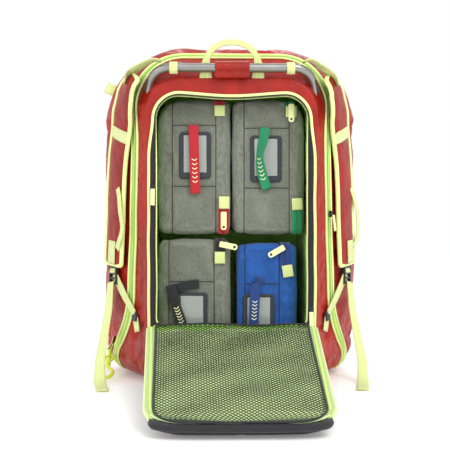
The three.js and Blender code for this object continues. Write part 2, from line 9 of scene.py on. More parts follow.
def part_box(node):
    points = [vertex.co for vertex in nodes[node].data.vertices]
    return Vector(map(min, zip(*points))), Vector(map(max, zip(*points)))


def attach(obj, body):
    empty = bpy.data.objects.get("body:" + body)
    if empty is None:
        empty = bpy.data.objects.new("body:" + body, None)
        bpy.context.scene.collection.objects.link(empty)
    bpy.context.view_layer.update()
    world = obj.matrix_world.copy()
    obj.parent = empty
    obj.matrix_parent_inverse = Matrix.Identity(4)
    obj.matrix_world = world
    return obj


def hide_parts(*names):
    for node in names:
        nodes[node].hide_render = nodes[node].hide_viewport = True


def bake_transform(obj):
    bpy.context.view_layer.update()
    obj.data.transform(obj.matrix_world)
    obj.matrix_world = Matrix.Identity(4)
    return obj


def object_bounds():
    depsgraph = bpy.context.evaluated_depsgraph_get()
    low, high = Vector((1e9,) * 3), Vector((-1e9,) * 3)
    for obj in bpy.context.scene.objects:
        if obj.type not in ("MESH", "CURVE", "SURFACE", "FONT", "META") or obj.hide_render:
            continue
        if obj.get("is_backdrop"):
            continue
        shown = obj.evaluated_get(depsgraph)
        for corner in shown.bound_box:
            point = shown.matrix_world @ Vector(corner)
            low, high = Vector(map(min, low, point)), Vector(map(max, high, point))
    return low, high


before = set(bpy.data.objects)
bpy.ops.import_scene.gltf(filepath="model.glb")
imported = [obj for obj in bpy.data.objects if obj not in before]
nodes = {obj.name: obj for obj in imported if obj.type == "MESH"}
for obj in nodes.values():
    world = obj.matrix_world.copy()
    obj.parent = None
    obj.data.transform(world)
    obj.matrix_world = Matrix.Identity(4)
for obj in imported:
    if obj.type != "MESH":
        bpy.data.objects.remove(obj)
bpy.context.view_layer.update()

# ---- Camera, floor and light ---------------------------------------------------------------
# The pack stands open on a pale studio floor, seen from the harness side at about pocket
# height, under one broad soft light with a weaker one from the left.

face_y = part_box("opening_rim")[0].y
camera_data = bpy.data.cameras.new("camera")
camera_data.sensor_width = 36
camera_data.lens = 71.1
camera_data.clip_end = 30
camera = bpy.data.objects.new("camera", camera_data)
camera.location = (-0.049, face_y - 1.557, 0.280)
camera.rotation_euler = (math.radians(90), 0, math.radians(-1.35))
bpy.context.scene.collection.objects.link(camera)
bpy.context.scene.camera = camera


def link(name, mesh):
    piece = bpy.data.objects.new(name, mesh)
    bpy.context.scene.collection.objects.link(piece)
    return piece


def piece_from(name, bm, smooth=False):
    """Turns a finished bmesh into a piece of that name."""
    mesh = bpy.data.meshes.new(name)
    bm.to_mesh(mesh)
    bm.free()
    if smooth:
        shade_smooth(mesh)
    return link(name, mesh)


def shade_smooth(mesh):
    for polygon in mesh.polygons:
        polygon.use_smooth = True


def middle_of(node_name):
    low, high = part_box(node_name)
    return (low + high) / 2


def area_light(name, where, aim, size, power, colour=(1, 1, 1)):
    data = bpy.data.lights.new(name, "AREA")
    data.size = size
    data.energy = power
    data.color = colour
    lamp = bpy.data.objects.new(name, data)
    lamp.location = where
    lamp.rotation_euler = (Vector(aim) - Vector(where)).to_track_quat("-Z", "Y").to_euler()
    bpy.context.scene.collection.objects.link(lamp)


area_light("key_light", (1.1, -2.2, 2.4), (0, 0, 0.3), 1.6, 46)
area_light("fill_light", (-2.2, -2.0, 1.3), (0, 0, 0.3), 2.0, 16)
area_light("rear_light", (0.6, 2.6, 2.2), (0, 0, 0.3), 2.0, 24)

world = bpy.data.worlds.new("studio")
world.use_nodes = True
world.node_tree.nodes["Background"].inputs["Color"].default_value = (1, 1, 1, 1)
world.node_tree.nodes["Background"].inputs["Strength"].default_value = 1.0
bpy.context.scene.world = world
bpy.context.scene.view_settings.view_transform = "Standard"

bm = bmesh.new()
bmesh.ops.create_grid(bm, x_segments=2, y_segments=2, size=6)
bmesh.ops.translate(bm, vec=(0, 0, -0.0005), verts=bm.verts)
floor = piece_from("floor", bm)
floor_paint = bpy.data.materials.new("floor_paint")
floor_paint.use_nodes = True
paint = floor_paint.node_tree.nodes["Principled BSDF"].inputs
paint["Base Color"].default_value = (0.9, 0.9, 0.89, 1)
paint["Roughness"].default_value = 0.7
paint["Emission Color"].default_value = (1, 1, 1, 1)
paint["Emission Strength"].default_value = 0.16
floor.data.materials.append(floor_paint)
floor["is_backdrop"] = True

# ---- Cloths of the pack --------------------------------------------------------------------
# Every soft piece is cut from one of a few cloths: coated red fabric, twill, lining, net or
# woven webbing. Each finish is a small recipe on top of two shared effects, weave and creases.


def effect_group(name, inputs, outputs):
    tree = bpy.data.node_groups.new(name, "ShaderNodeTree")
    for label, kind, value in inputs:
        socket = tree.interface.new_socket(label, in_out="INPUT", socket_type=kind)
        if value is not None:
            socket.default_value = value
    for label, kind in outputs:
        tree.interface.new_socket(label, in_out="OUTPUT", socket_type=kind)
    return tree, tree.nodes.new("NodeGroupInput"), tree.nodes.new("NodeGroupOutput")


def math_node(tree, operation, first, second=None, third=None):
    node = tree.nodes.new("ShaderNodeMath")
    node.operation = operation
    for socket, value in zip(node.inputs, (first, second, third)):
        if value is None:
            continue
        if isinstance(value, (int, float)):
            socket.default_value = value
        else:
            tree.links.new(value, socket)
    return node.outputs[0]


# Plain weave read from three directions, so that it runs over every side of a piece.
weave_tree, weave_in, weave_out = effect_group(
    "cloth weave", [("Vector", "NodeSocketVector", None), ("Threads", "NodeSocketFloat", 900.0)],
    [("Height", "NodeSocketFloat")])
split = weave_tree.nodes.new("ShaderNodeSeparateXYZ")
weave_tree.links.new(weave_in.outputs["Vector"], split.inputs[0])
waves = []
for axis in range(3):
    turns = math_node(weave_tree, "MULTIPLY", split.outputs[axis], weave_in.outputs["Threads"])
    waves.append(math_node(weave_tree, "SINE", math_node(weave_tree, "MULTIPLY", turns, math.tau)))
two = math_node(weave_tree, "ADD", waves[0], waves[1])
three = math_node(weave_tree, "ADD", two, waves[2])
weave_tree.links.new(math_node(weave_tree, "MULTIPLY_ADD", three, 0.16, 0.5), weave_out.inputs[0])

# Soft creases: ridged noise at two sizes.
crease_tree, crease_in, crease_out = effect_group(
    "creases", [("Vector", "NodeSocketVector", None), ("Scale", "NodeSocketFloat", 14.0)],
    [("Height", "NodeSocketFloat"), ("Tone", "NodeSocketFloat")])
ridges = []
for factor, detail, warp in ((1.0, 2.0, 0.6), (3.1, 3.0, 0.9)):
    cloud = crease_tree.nodes.new("ShaderNodeTexNoise")
    cloud.inputs["Detail"].default_value = detail
    cloud.inputs["Distortion"].default_value = warp
    crease_tree.links.new(crease_in.outputs["Vector"], cloud.inputs["Vector"])
    crease_tree.links.new(
        math_node(crease_tree, "MULTIPLY", crease_in.outputs["Scale"], factor), cloud.inputs["Scale"])
    middle = math_node(crease_tree, "SUBTRACT", cloud.outputs[0], 0.5)
    ridges.append(math_node(crease_tree, "ABSOLUTE", middle))
    if factor == 1.0:
        crease_tree.links.new(cloud.outputs[0], crease_out.inputs["Tone"])
crease_tree.links.new(math_node(crease_tree, "MULTIPLY_ADD", ridges[1], 0.35, ridges[0]),
                      crease_out.inputs["Height"])

# Webbing: fine ribs across a strap and two or three cords along it, read from its own map.
rib_tree, rib_in, rib_out = effect_group(
    "webbing ribs", [("Map", "NodeSocketVector", None), ("Ribs", "NodeSocketFloat", 620.0),
                     ("Cords", "NodeSocketFloat", 320.0)],
    [("Height", "NodeSocketFloat")])
rib_split = rib_tree.nodes.new("ShaderNodeSeparateXYZ")
rib_tree.links.new(rib_in.outputs["Map"], rib_split.inputs[0])
cords = math_node(rib_tree, "MULTIPLY", rib_split.outputs[0], rib_in.outputs["Cords"])
cord_wave = math_node(rib_tree, "SINE", math_node(rib_tree, "MULTIPLY", cords, math.tau))
ribs = math_node(rib_tree, "MULTIPLY", rib_split.outputs[1], rib_in.outputs["Ribs"])
shifted = math_node(rib_tree, "MULTIPLY_ADD", cord_wave, 0.22, ribs)
rib_wave = math_node(rib_tree, "SINE", math_node(rib_tree, "MULTIPLY", shifted, math.tau))
rib_height = math_node(rib_tree, "MULTIPLY_ADD", math_node(
    rib_tree, "MULTIPLY_ADD", cord_wave, 0.5, rib_wave), 0.3, 0.5)
rib_tree.links.new(rib_height, rib_out.inputs["Height"])


class Finish:
    """A material under way: its tree, its Principled shader and the links that finishes share."""

    def __init__(self, name, colour, roughness, metallic=0.0):
        self.material = bpy.data.materials.new(name)
        self.material.use_nodes = True
        self.tree = self.material.node_tree
        self.shader = self.tree.nodes["Principled BSDF"]
        self.colour = (*colour, 1)
        self.shader.inputs["Base Color"].default_value = self.colour
        self.shader.inputs["Roughness"].default_value = roughness
        self.shader.inputs["Metallic"].default_value = metallic
        self.coords = self.tree.nodes.new("ShaderNodeTexCoord")

    def effect(self, tree, vector, **values):
        node = self.tree.nodes.new("ShaderNodeGroup")
        node.node_tree = tree
        self.tree.links.new(vector, node.inputs[0])
        for label, value in values.items():
            node.inputs[label].default_value = value
        return node

    def stretched(self, vector, scale):
        node = self.tree.nodes.new("ShaderNodeMapping")
        node.inputs["Scale"].default_value = scale
        self.tree.links.new(vector, node.inputs["Vector"])
        return node.outputs[0]

    def bump(self, height, distance, strength=1.0, under=None):
        node = self.tree.nodes.new("ShaderNodeBump")
        node.inputs["Distance"].default_value = distance
        node.inputs["Strength"].default_value = strength
        self.tree.links.new(height, node.inputs["Height"])
        if under is not None:
            self.tree.links.new(under, node.inputs["Normal"])
        self.tree.links.new(node.outputs[0], self.shader.inputs["Normal"])
        return node.outputs[0]

    def tint(self, factor, low, high, low_at=0.3, high_at=0.7):
        ramp = self.tree.nodes.new("ShaderNodeValToRGB")
        ramp.color_ramp.elements[0].position = low_at
        ramp.color_ramp.elements[0].color = (*low, 1)
        ramp.color_ramp.elements[1].position = high_at
        ramp.color_ramp.elements[1].color = (*high, 1)
        self.tree.links.new(factor, ramp.inputs[0])
        self.tree.links.new(ramp.outputs[0], self.shader.inputs["Base Color"])
        return ramp

    def varied_roughness(self, factor, low, high):
        self.tree.links.new(math_node(self.tree, "MULTIPLY_ADD", factor, high - low, low),
                            self.shader.inputs["Roughness"])


def shade(colour, factor):
    return tuple(channel * factor for channel in colour)


def coated_fabric(name, colour):
    """Tarpaulin-like fabric: a shiny face with creases and a faint grid of threads under it."""
    finish = Finish(name, colour, 0.34)
    place = finish.coords.outputs["Object"]
    folds = finish.effect(crease_tree, finish.stretched(place, (1.0, 1.0, 0.55)), Scale=17.0)
    grid = finish.effect(weave_tree, place, Threads=620.0)
    finish.tint(folds.outputs["Tone"], shade(colour, 0.74), shade(colour, 1.16), 0.32, 0.68)
    finish.varied_roughness(folds.outputs["Tone"], 0.24, 0.46)
    under = finish.bump(folds.outputs["Height"], 0.007)
    finish.bump(grid.outputs["Height"], 0.00022, under=under)
    finish.shader.inputs["Specular IOR Level"].default_value = 0.28
    finish.shader.inputs["Coat Weight"].default_value = 0.07
    finish.shader.inputs["Coat Roughness"].default_value = 0.25
    return finish.material


def soft_cloth(name, colour, threads=760.0, depth=0.0005, spread=0.10, rough=0.85, sheen=0.15):
    finish = Finish(name, colour, rough)
    place = finish.coords.outputs["Object"]
    folds = finish.effect(crease_tree, place, Scale=24.0)
    grid = finish.effect(weave_tree, place, Threads=threads)
    blended = math_node(finish.tree, "MULTIPLY_ADD", grid.outputs["Height"], 0.55,
                        math_node(finish.tree, "MULTIPLY", folds.outputs["Tone"], 0.45))
    finish.tint(blended, shade(colour, 1 - spread * 2), shade(colour, 1 + spread * 2), 0.25, 0.75)
    under = finish.bump(folds.outputs["Height"], 0.002)
    finish.bump(grid.outputs["Height"], depth, under=under)
    finish.shader.inputs["Sheen Weight"].default_value = sheen
    return finish.material


def webbing_cloth(name, colour, ribs=620.0, cords=320.0, depth=0.0006):
    finish = Finish(name, colour, 0.78)
    weave = finish.effect(rib_tree, finish.coords.outputs["UV"], Ribs=ribs, Cords=cords)
    finish.tint(weave.outputs["Height"], shade(colour, 0.70), shade(colour, 1.08), 0.2, 0.75)
    finish.bump(weave.outputs["Height"], depth)
    finish.shader.inputs["Sheen Weight"].default_value = 0.2
    return finish.material


RED = (0.36, 0.013, 0.006)
HI_VIS = (0.80, 0.88, 0.36)
coated_red = coated_fabric("coated_red_fabric", RED)
hi_vis_webbing = webbing_cloth("hi_vis_webbing", HI_VIS)
hi_vis_cord = soft_cloth("hi_vis_binding", HI_VIS, threads=500.0, depth=0.0002, spread=0.04)
lining_cloth = soft_cloth("lime_lining", (0.42, 0.82, 0.12), threads=900.0, depth=0.0002)
black_tape = soft_cloth("black_tape", (0.016, 0.016, 0.018), threads=800.0, depth=0.0003)


def drawn_sheet(name, place, across, along, closed=False, size=(1.0, 1.0)):
    """A grid of cloth laid over the surface place(u, v); its map is in metres, size wide and long."""
    bm = bmesh.new()
    layer = bm.loops.layers.uv.new("map")
    bmesh.ops.create_grid(bm, x_segments=across, y_segments=along, size=0.5)
    for face in bm.faces:
        for loop in face.loops:
            loop[layer].uv = ((loop.vert.co.x + 0.5) * size[0], (loop.vert.co.y + 0.5) * size[1])
    for vert in bm.verts:
        vert.co = place(vert.co.x + 0.5, vert.co.y + 0.5)
    if closed:
        bmesh.ops.remove_doubles(bm, verts=bm.verts, dist=1e-5)
    return piece_from(name, bm, smooth=True)


def thicken(piece, thickness, offset=-1.0, rounds=0):
    wall = piece.modifiers.new("cloth thickness", "SOLIDIFY")
    wall.thickness = thickness
    wall.offset = offset
    if rounds:
        soft = piece.modifiers.new("soft", "SUBSURF")
        soft.levels = soft.render_levels = rounds
    return piece


def dress(piece, material, body, slot_name, *cad_nodes):
    piece.data.materials.clear()
    piece.data.materials.append(material)
    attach(piece, body)
    if cad_nodes:
        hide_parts(*cad_nodes)
    return piece


# ---- Pack body -----------------------------------------------------------------------------
# One flared shell sewn from coated fabric over foam: a rim round the main opening, the wall
# below it, two sides, a domed top, a flat base and the rear face.

top_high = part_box("top_panel")[1].z
rear_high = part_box("rear_panel")[1].y
tape_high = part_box("opening_zip_tape")[1]
half_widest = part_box("base_panel")[1].x
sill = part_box("lower_front_panel")[1].z
opening_half = tape_high.x - 0.008
opening_top = tape_high.z - 0.008
opening_corner = 0.042
front_half = 0.150

# Depth behind the harness face, half width, base lift, top, upper and lower corner radius.
STATIONS = [
    (0.000, front_half, 0.006, top_high - 0.066, 0.062, 0.040),
    (0.020, front_half + 0.012, 0.000, top_high - 0.044, 0.075, 0.045),
    (0.042, front_half + 0.024, 0.000, top_high - 0.026, 0.090, 0.050),
    (0.090, front_half + 0.055, 0.000, top_high - 0.003, 0.115, 0.058),
    (0.140, half_widest, 0.000, top_high, 0.130, 0.062),
    (0.195, half_widest, 0.000, top_high - 0.006, 0.130, 0.062),
    (0.222, half_widest - 0.009, 0.004, top_high - 0.018, 0.122, 0.055),
    (0.235, half_widest - 0.031, 0.016, top_high - 0.042, 0.105, 0.045),
]


def station(depth):
    for near, after in zip(STATIONS, STATIONS[1:]):
        if depth <= after[0] or after is STATIONS[-1]:
            share = (depth - near[0]) / (after[0] - near[0])
            return [a + (b - a) * share for a, b in zip(near, after)]


# Share of the ring given to each corner and each side, going round from the lower right.
RING_SHARES = (0.06, 0.20, 0.09, 0.15, 0.09, 0.20, 0.06, 0.15)


def rounded_ring(turn, half, low, high, upper, lower):
    """Point in the XZ plane a share `turn` of the way round a rounded rectangle."""
    corners = [(half - lower, low + lower, lower, -0.5), (half - upper, high - upper, upper, 0.0),
               (upper - half, high - upper, upper, 0.5), (lower - half, low + lower, lower, 1.0)]
    turn = turn % 1.0
    for index, share in enumerate(RING_SHARES):
        if turn <= share or index == 7:
            break
        turn -= share
    part = min(turn / share, 1.0)
    cx, cz, radius, start = corners[index // 2]
    if index % 2 == 0:
        angle = (start + part * 0.5) * math.pi
        return cx + radius * math.cos(angle), cz + radius * math.sin(angle)
    nx, nz, next_radius, _ = corners[(index // 2 + 1) % 4]
    angle = (start + 0.5) * math.pi
    ax, az = cx + radius * math.cos(angle), cz + radius * math.sin(angle)
    bx, bz = nx + next_radius * math.cos(angle), nz + next_radius * math.sin(angle)
    return ax + (bx - ax) * part, az + (bz - az) * part


def skin_point(turn, depth, grow=0.0):
    _, half, low, high, upper, lower = station(depth)
    x, z = rounded_ring(turn, half + grow, low - grow, high + grow, upper + grow, lower + grow)
    return Vector((x, face_y + depth, z))


def skin_x(depth, z):
    _, half, low, high, upper, lower = station(depth)
    if z > high - upper:
        return half - upper + math.sqrt(max(upper ** 2 - (z - high + upper) ** 2, 0))
    if z < low + lower:
        return half - lower + math.sqrt(max(lower ** 2 - (low + lower - z) ** 2, 0))
    return half


TURN_IN = 0.012          # the rim's fabric turns in behind the zipper tape
FRONT_SHARE, SIDE_SHARE = 0.16, 0.52


def opening_ring(turn, grow=0.0):
    """Edge of the main opening moved out by grow; its top hangs a little in the middle."""
    x, z = rounded_ring(turn, opening_half + grow, sill - grow, opening_top + grow,
                        opening_corner + grow, 0.012)
    if z > opening_top - 0.03:
        z -= 0.006 * max(math.cos(x / 0.11 * math.pi / 2), 0) ** 2 if abs(x) < 0.11 else 0
    return x, z


def body_surface(turn, way):
    """The whole skin in one sweep: opening edge, rim, sides, then the rear face to its middle."""
    if way < FRONT_SHARE:
        share = way / FRONT_SHARE
        inner_x, inner_z = opening_ring(turn)
        if share < 0.15:
            return Vector((inner_x, face_y + TURN_IN * (1 - share / 0.15), inner_z))
        share = (share - 0.15) / 0.85
        outer = skin_point(turn, 0.0)
        return Vector((inner_x, face_y, inner_z)).lerp(outer, share)
    depth_all = STATIONS[-1][0]
    if way < FRONT_SHARE + SIDE_SHARE:
        return skin_point(turn, (way - FRONT_SHARE) / SIDE_SHARE * depth_all)
    share = (way - FRONT_SHARE - SIDE_SHARE) / (1 - FRONT_SHARE - SIDE_SHARE)
    edge = skin_point(turn, depth_all)
    middle = Vector((0, rear_high, 0.29))
    return edge.lerp(middle, share * 0.985)


body = drawn_sheet("pack_shell", body_surface, 288, 84, closed=True)
bm = bmesh.new()
bm.from_mesh(body.data)
bmesh.ops.holes_fill(bm, edges=[e for e in bm.edges if e.is_boundary and
                                all(v.co.y > rear_high - 0.002 for v in e.verts)], sides=0)
bmesh.ops.recalc_face_normals(bm, faces=bm.faces)
bm.to_mesh(body.data)
bm.free()


# The expansion zipper's distance behind the harness face at each height.
BAND_HEIGHTS = [(0.170, 0.048), (0.280, 0.041), (0.430, 0.036), (0.520, 0.044), (0.600, 0.057),
                (0.700, 0.057)]


def band_depth(z):
    if z <= BAND_HEIGHTS[0][0]:
        return BAND_HEIGHTS[0][1] + 0.072 * ((BAND_HEIGHTS[0][0] - z) / 0.14) ** 2
    for (z0, d0), (z1, d1) in zip(BAND_HEIGHTS, BAND_HEIGHTS[1:]):
        if z <= z1:
            share = (z - z0) / (z1 - z0)
            share = share * share * (3 - 2 * share)
            return d0 + (d1 - d0) * share
    return BAND_HEIGHTS[-1][1]


def pin_weight(co):
    """1 where the cloth is held by a seam, the frame or the floor; 0 in the middle of a panel."""
    depth = co.y - face_y
    held = [1 - min(depth / 0.012, 1), 1 - min(co.z / 0.03, 1), 1 - min(abs(co.z - 0.068) / 0.008, 1)]
    held.append(1 - min(abs(depth - 0.210) / 0.008, 1))
    held.append(1 - min(max(abs(depth - band_depth(co.z)) - 0.012, 0) / 0.010, 1))
    if depth > 0.22 and abs(co.x) < 0.16 and 0.06 < co.z < 0.41:
        held.append(1.0)
    return max(held)


def inflate(piece, pressure, frames, cap, pin=None, slack=0.0, bend=0.6, stiff=12.0):
    """Blows a cloth piece up a little with its seams held, then keeps the result."""
    rest = [vert.co.copy() for vert in piece.data.vertices]
    if pin is not None:
        group = piece.vertex_groups.new(name="sewn")
        for vert in piece.data.vertices:
            weight = pin(vert.co)
            if weight > 0:
                group.add([vert.index], weight, "REPLACE")
    cloth = piece.modifiers.new("cloth", "CLOTH")
    settings = cloth.settings
    settings.quality = 4
    settings.mass = 0.25
    settings.tension_stiffness = settings.compression_stiffness = stiff
    settings.shear_stiffness = stiff * 0.5
    settings.bending_stiffness = bend
    settings.air_damping = 4
    settings.shrink_min = settings.shrink_max = -slack
    settings.use_pressure = True
    settings.uniform_pressure_force = pressure
    settings.effector_weights.gravity = 0
    cloth.collision_settings.use_collision = False
    if pin is not None:
        settings.vertex_group_mass = "sewn"
        settings.pin_stiffness = 8
    scene = bpy.context.scene
    for step in range(1, frames + 1):
        scene.frame_set(step)
    result = piece.evaluated_get(bpy.context.evaluated_depsgraph_get()).to_mesh()
    moved = [vert.co.copy() for vert in result.vertices]
    piece.modifiers.remove(cloth)
    scene.frame_set(1)
    for vert, start, end in zip(piece.data.vertices, rest, moved):
        step = end - start
        if step.length > cap:
            step *= cap / step.length
        vert.co = start + step
    piece.vertex_groups.clear()


inflate(body, 1.6, 14, 0.009, pin=pin_weight, slack=0.035, bend=0.25)

# Hand-pressed dents and long soft folds, held off near the seams.
for vert in body.data.vertices:
    free = 1 - pin_weight(vert.co)
    low = noise.noise(Vector((vert.co.x * 9, vert.co.y * 9, vert.co.z * 5)) + Vector((3, 1, 7)))
    fine = 0.5 - abs(noise.noise(Vector((vert.co.x * 26, vert.co.y * 26, vert.co.z * 12))))
    vert.co += vert.normal * free * (0.0030 * low + 0.0026 * (fine - 0.3))
thicken(body, 0.0025)
dress(body, coated_red, "pack", "coated_red", "opening_rim", "lower_front_panel", "side_panel_left",
      "side_panel_right", "top_panel", "base_panel", "rear_panel")
# ---- Main opening --------------------------------------------------------------------------
# The opening is edged with black zipper tape and its coil, a corded hi-vis binding outside the
# tape and a thinner one inside it; behind it lie the lime lining and two padded side walls.


def smooth_path(points, count):
    """Evenly spaced points on a smooth line through the points given."""
    points = [Vector(p) for p in points]
    ends = [points[0] * 2 - points[1], *points, points[-1] * 2 - points[-2]]
    fine = []
    for a, b, c, d in zip(ends, ends[1:], ends[2:], ends[3:]):
        for step in range(16):
            t = step / 16
            fine.append(0.5 * (2 * b + (c - a) * t + (2 * a - 5 * b + 4 * c - d) * t * t
                               + (3 * b - a - 3 * c + d) * t ** 3))
    fine.append(points[-1])
    reach = [0.0]
    for a, b in zip(fine, fine[1:]):
        reach.append(reach[-1] + (b - a).length)
    result, at = [], 0
    for i in range(count + 1):
        wanted = reach[-1] * i / count
        while at < len(reach) - 2 and reach[at + 1] < wanted:
            at += 1
        share = (wanted - reach[at]) / max(reach[at + 1] - reach[at], 1e-9)
        result.append(fine[at].lerp(fine[at + 1], min(share, 1.0)))
    return result


def path_length(points):
    return sum((b - a).length for a, b in zip(points, points[1:]))


def round_cord(name, points, radius, cyclic=False, sides=3):
    curve = bpy.data.curves.new(name, "CURVE")
    curve.dimensions = "3D"
    curve.bevel_depth = radius
    curve.bevel_resolution = sides
    curve.use_fill_caps = True
    line = curve.splines.new("POLY")
    line.points.add(len(points) - 1)
    for spot, point in zip(line.points, points):
        spot.co = (*point, 1)
    line.use_cyclic_u = cyclic
    source = link(name, curve)
    mesh = bpy.data.meshes.new_from_object(source)
    bpy.data.objects.remove(source)
    shade_smooth(mesh)
    return link(name, mesh)


def along_path(points, share):
    """Point and direction at a share of the way along evenly spaced points."""
    spot = share * (len(points) - 1)
    index = min(int(spot), len(points) - 2)
    point = points[index].lerp(points[index + 1], spot - index)
    near, far = points[max(index - 1, 0)], points[min(index + 2, len(points) - 1)]
    return point, (far - near).normalized()


def strip(name, points, sides, width, thickness, across=6, along=None, body="pack",
          material=None, slot_name="hi_vis_webbing", nodes_for=(), ripple=0.0, cupped=0.0):
    """Flat webbing along points; sides gives the width direction, one for all or one a point."""
    length = path_length(points)
    along = along or max(int(length / 0.004), 4)
    several = isinstance(sides, list)
    if several:
        sides = [Vector(side) for side in sides]

    def place(u, v):
        centre, forward = along_path(points, v)
        side = along_path(sides, v)[0] if several else Vector(sides)
        side = (side - forward * side.dot(forward)).normalized()
        up = forward.cross(side)
        here = width(v) if callable(width) else width
        wave = ripple * noise.noise(Vector((v * length * 30, u * 1.5, len(name))))
        return centre + side * (u - 0.5) * here + up * (wave - cupped * (2 * u - 1) ** 2)

    flat_width = width if not callable(width) else width(0.5)
    piece = drawn_sheet(name, place, across, along, size=(flat_width, length))
    thicken(piece, thickness, offset=0.0)
    return dress(piece, material or hi_vis_webbing, body, slot_name, *nodes_for)


def surface_of(piece):
    return BVHTree.FromObject(piece, bpy.context.evaluated_depsgraph_get())


def round_edges(piece, width, segments):
    edges = piece.modifiers.new("rounded edges", "BEVEL")
    edges.width = width
    edges.segments = segments
    return edges


def add_block(bm, centre, turn, where, size):
    """A block of a cast or moulded piece, placed in the frame turned about its centre."""
    bmesh.ops.create_cube(bm, size=1.0, matrix=Matrix.Translation(centre) @ turn
                          @ Matrix.Translation(where) @ Matrix.Diagonal((*size, 1)))


def upright(side, forward, outward):
    return Matrix((side, forward, outward)).transposed().to_4x4()


def teeth(name, points, out, size, pitch, material, body, slot_name, *cad_nodes):
    """A zipper's coil: small rounded blocks side by side along a line."""
    bm = bmesh.new()
    count = int(path_length(points) / pitch)
    for i in range(count):
        centre, forward = along_path(points, (i + 0.5) / count)
        outward = out(centre) if callable(out) else Vector(out)
        side = forward.cross(outward).normalized()
        outward = side.cross(forward)
        add_block(bm, centre, upright(side, forward, outward), (0, 0, 0), size)
    piece = piece_from(name, bm)
    round_edges(piece, 0.0003, 1)
    return dress(piece, material, body, slot_name, *cad_nodes)


def opening_path(grow, out, count=260, top_grow=None):
    """Line round the opening; over the top, where the tape tucks under, it may shift inwards."""
    points = []
    for i in range(121):
        turn = 0.035 + 0.78 * i / 120
        x, z = opening_ring(turn, grow)
        if top_grow is not None:
            tucked = min(max((z - 0.395) / 0.075, 0.0), 1.0)
            x, z = opening_ring(turn, grow + (top_grow - grow) * tucked * tucked * (3 - 2 * tucked))
        sway = 0.0009 * noise.noise(Vector((x * 14, grow * 90, z * 14)))
        points.append(Vector((x + sway, face_y - out, z)))
    return smooth_path(points, count)


hi_vis_coil = Finish("hi_vis_coil", (0.62, 0.80, 0.20), 0.45).material
black_coil = Finish("black_coil", (0.012, 0.012, 0.013), 0.35).material

tape_inner, tape_outer = opening_path(0.0012, 0.0009), opening_path(
    0.0082, 0.0009, top_grow=0.0038)
tape = drawn_sheet("opening_tape", lambda u, v: along_path(tape_inner, v)[0].lerp(
    along_path(tape_outer, v)[0], u), 4, 260, size=(0.007, 1.1))
thicken(tape, 0.0011, offset=0.0)
dress(tape, black_tape, "pack", "black_tape", "opening_zip_tape")
teeth("opening_coil", opening_path(0.0006, 0.0018), (0, -1, 0), (0.0032, 0.0017, 0.0016), 0.0024,
      black_coil, "pack", "black_tape")
piping = round_cord("opening_piping_cord", opening_path(0.0117, 0.0024, top_grow=0.0050),
                    0.0026)
dress(piping, hi_vis_cord, "pack", "hi_vis_webbing", "opening_piping")
binding = round_cord("opening_inner_binding", opening_path(-0.0012, -0.0005, top_grow=0.0004),
                     0.0019)
dress(binding, hi_vis_cord, "pack", "hi_vis_webbing")

LINING_BACK = 0.2255


def lining_surface(turn, way):
    if way < 0.72:
        depth = 0.0135 + way / 0.72 * (LINING_BACK - 0.0135)
        return skin_point(turn, depth, -0.0098)
    share = (way - 0.72) / 0.28
    edge = skin_point(turn, LINING_BACK, -0.0098)
    return edge.lerp(Vector((0, face_y + LINING_BACK, 0.29)), share * 0.98)


lining = drawn_sheet("lining", lining_surface, 180, 50, closed=True, size=(1.8, 0.5))
# The lining keeps just inside the skin wherever that was drawn in.
skin = BVHTree.FromPolygons([vert.co for vert in body.data.vertices],
                            [tuple(face.vertices) for face in body.data.polygons])
for vert in lining.data.vertices:
    spot, normal, _, _ = skin.find_nearest(vert.co)
    if vert.co.y > face_y + 0.016 and (vert.co - spot).dot(normal) > -0.0052:
        vert.co = spot - normal * 0.0052
thicken(lining, 0.0012, offset=1.0)
dress(lining, lining_cloth, "pack", "lining", "compartment_liner")

for side_name in ("left", "right"):
    wall_low, wall_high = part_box(f"divider_wall_{side_name}")
    middle_x = (wall_low.x + wall_high.x) / 2

    def wall_surface(u, v):
        y = wall_low.y + 0.001 + u * (wall_high.y - wall_low.y - 0.002)
        z = wall_low.z + 0.001 + v * (wall_high.z - wall_low.z - 0.002)
        quilt = 0.0005 * math.sin(z * 160) + 0.0014 * noise.noise(Vector((y * 16, z * 11, 5)))
        return Vector((middle_x + quilt, y, z))

    wall = drawn_sheet(f"side_wall_{side_name}", wall_surface, 44, 100, size=(0.21, 0.5))
    thicken(wall, 0.003, offset=0.0, rounds=1)
    dress(wall, lining_cloth, "pack", "lining", f"divider_wall_{side_name}")

# ---- Expansion zipper ----------------------------------------------------------------------
# A wide lime zipper runs up one side, over the top and down the other; it lets the rear half
# open out. Its tape is edged with a pale corded binding on both sides.


def band_point(turn, offset, grow):
    depth = 0.05
    for _ in range(8):
        depth = band_depth(skin_point(turn, depth).z)
    point = skin_point(turn, depth + offset)
    ahead = skin_point(turn, depth + offset + 0.004)
    beside = skin_point(turn + 0.002, depth + offset)
    outward = (beside - point).cross(ahead - point).normalized()
    if outward.dot(point - Vector((0, point.y, 0.29))) < 0:
        outward = -outward
    return point + outward * grow


def band_path(offset, grow, count=300):
    return smooth_path([band_point(0.022 + 0.806 * i / 150, offset, grow) for i in range(151)], count)


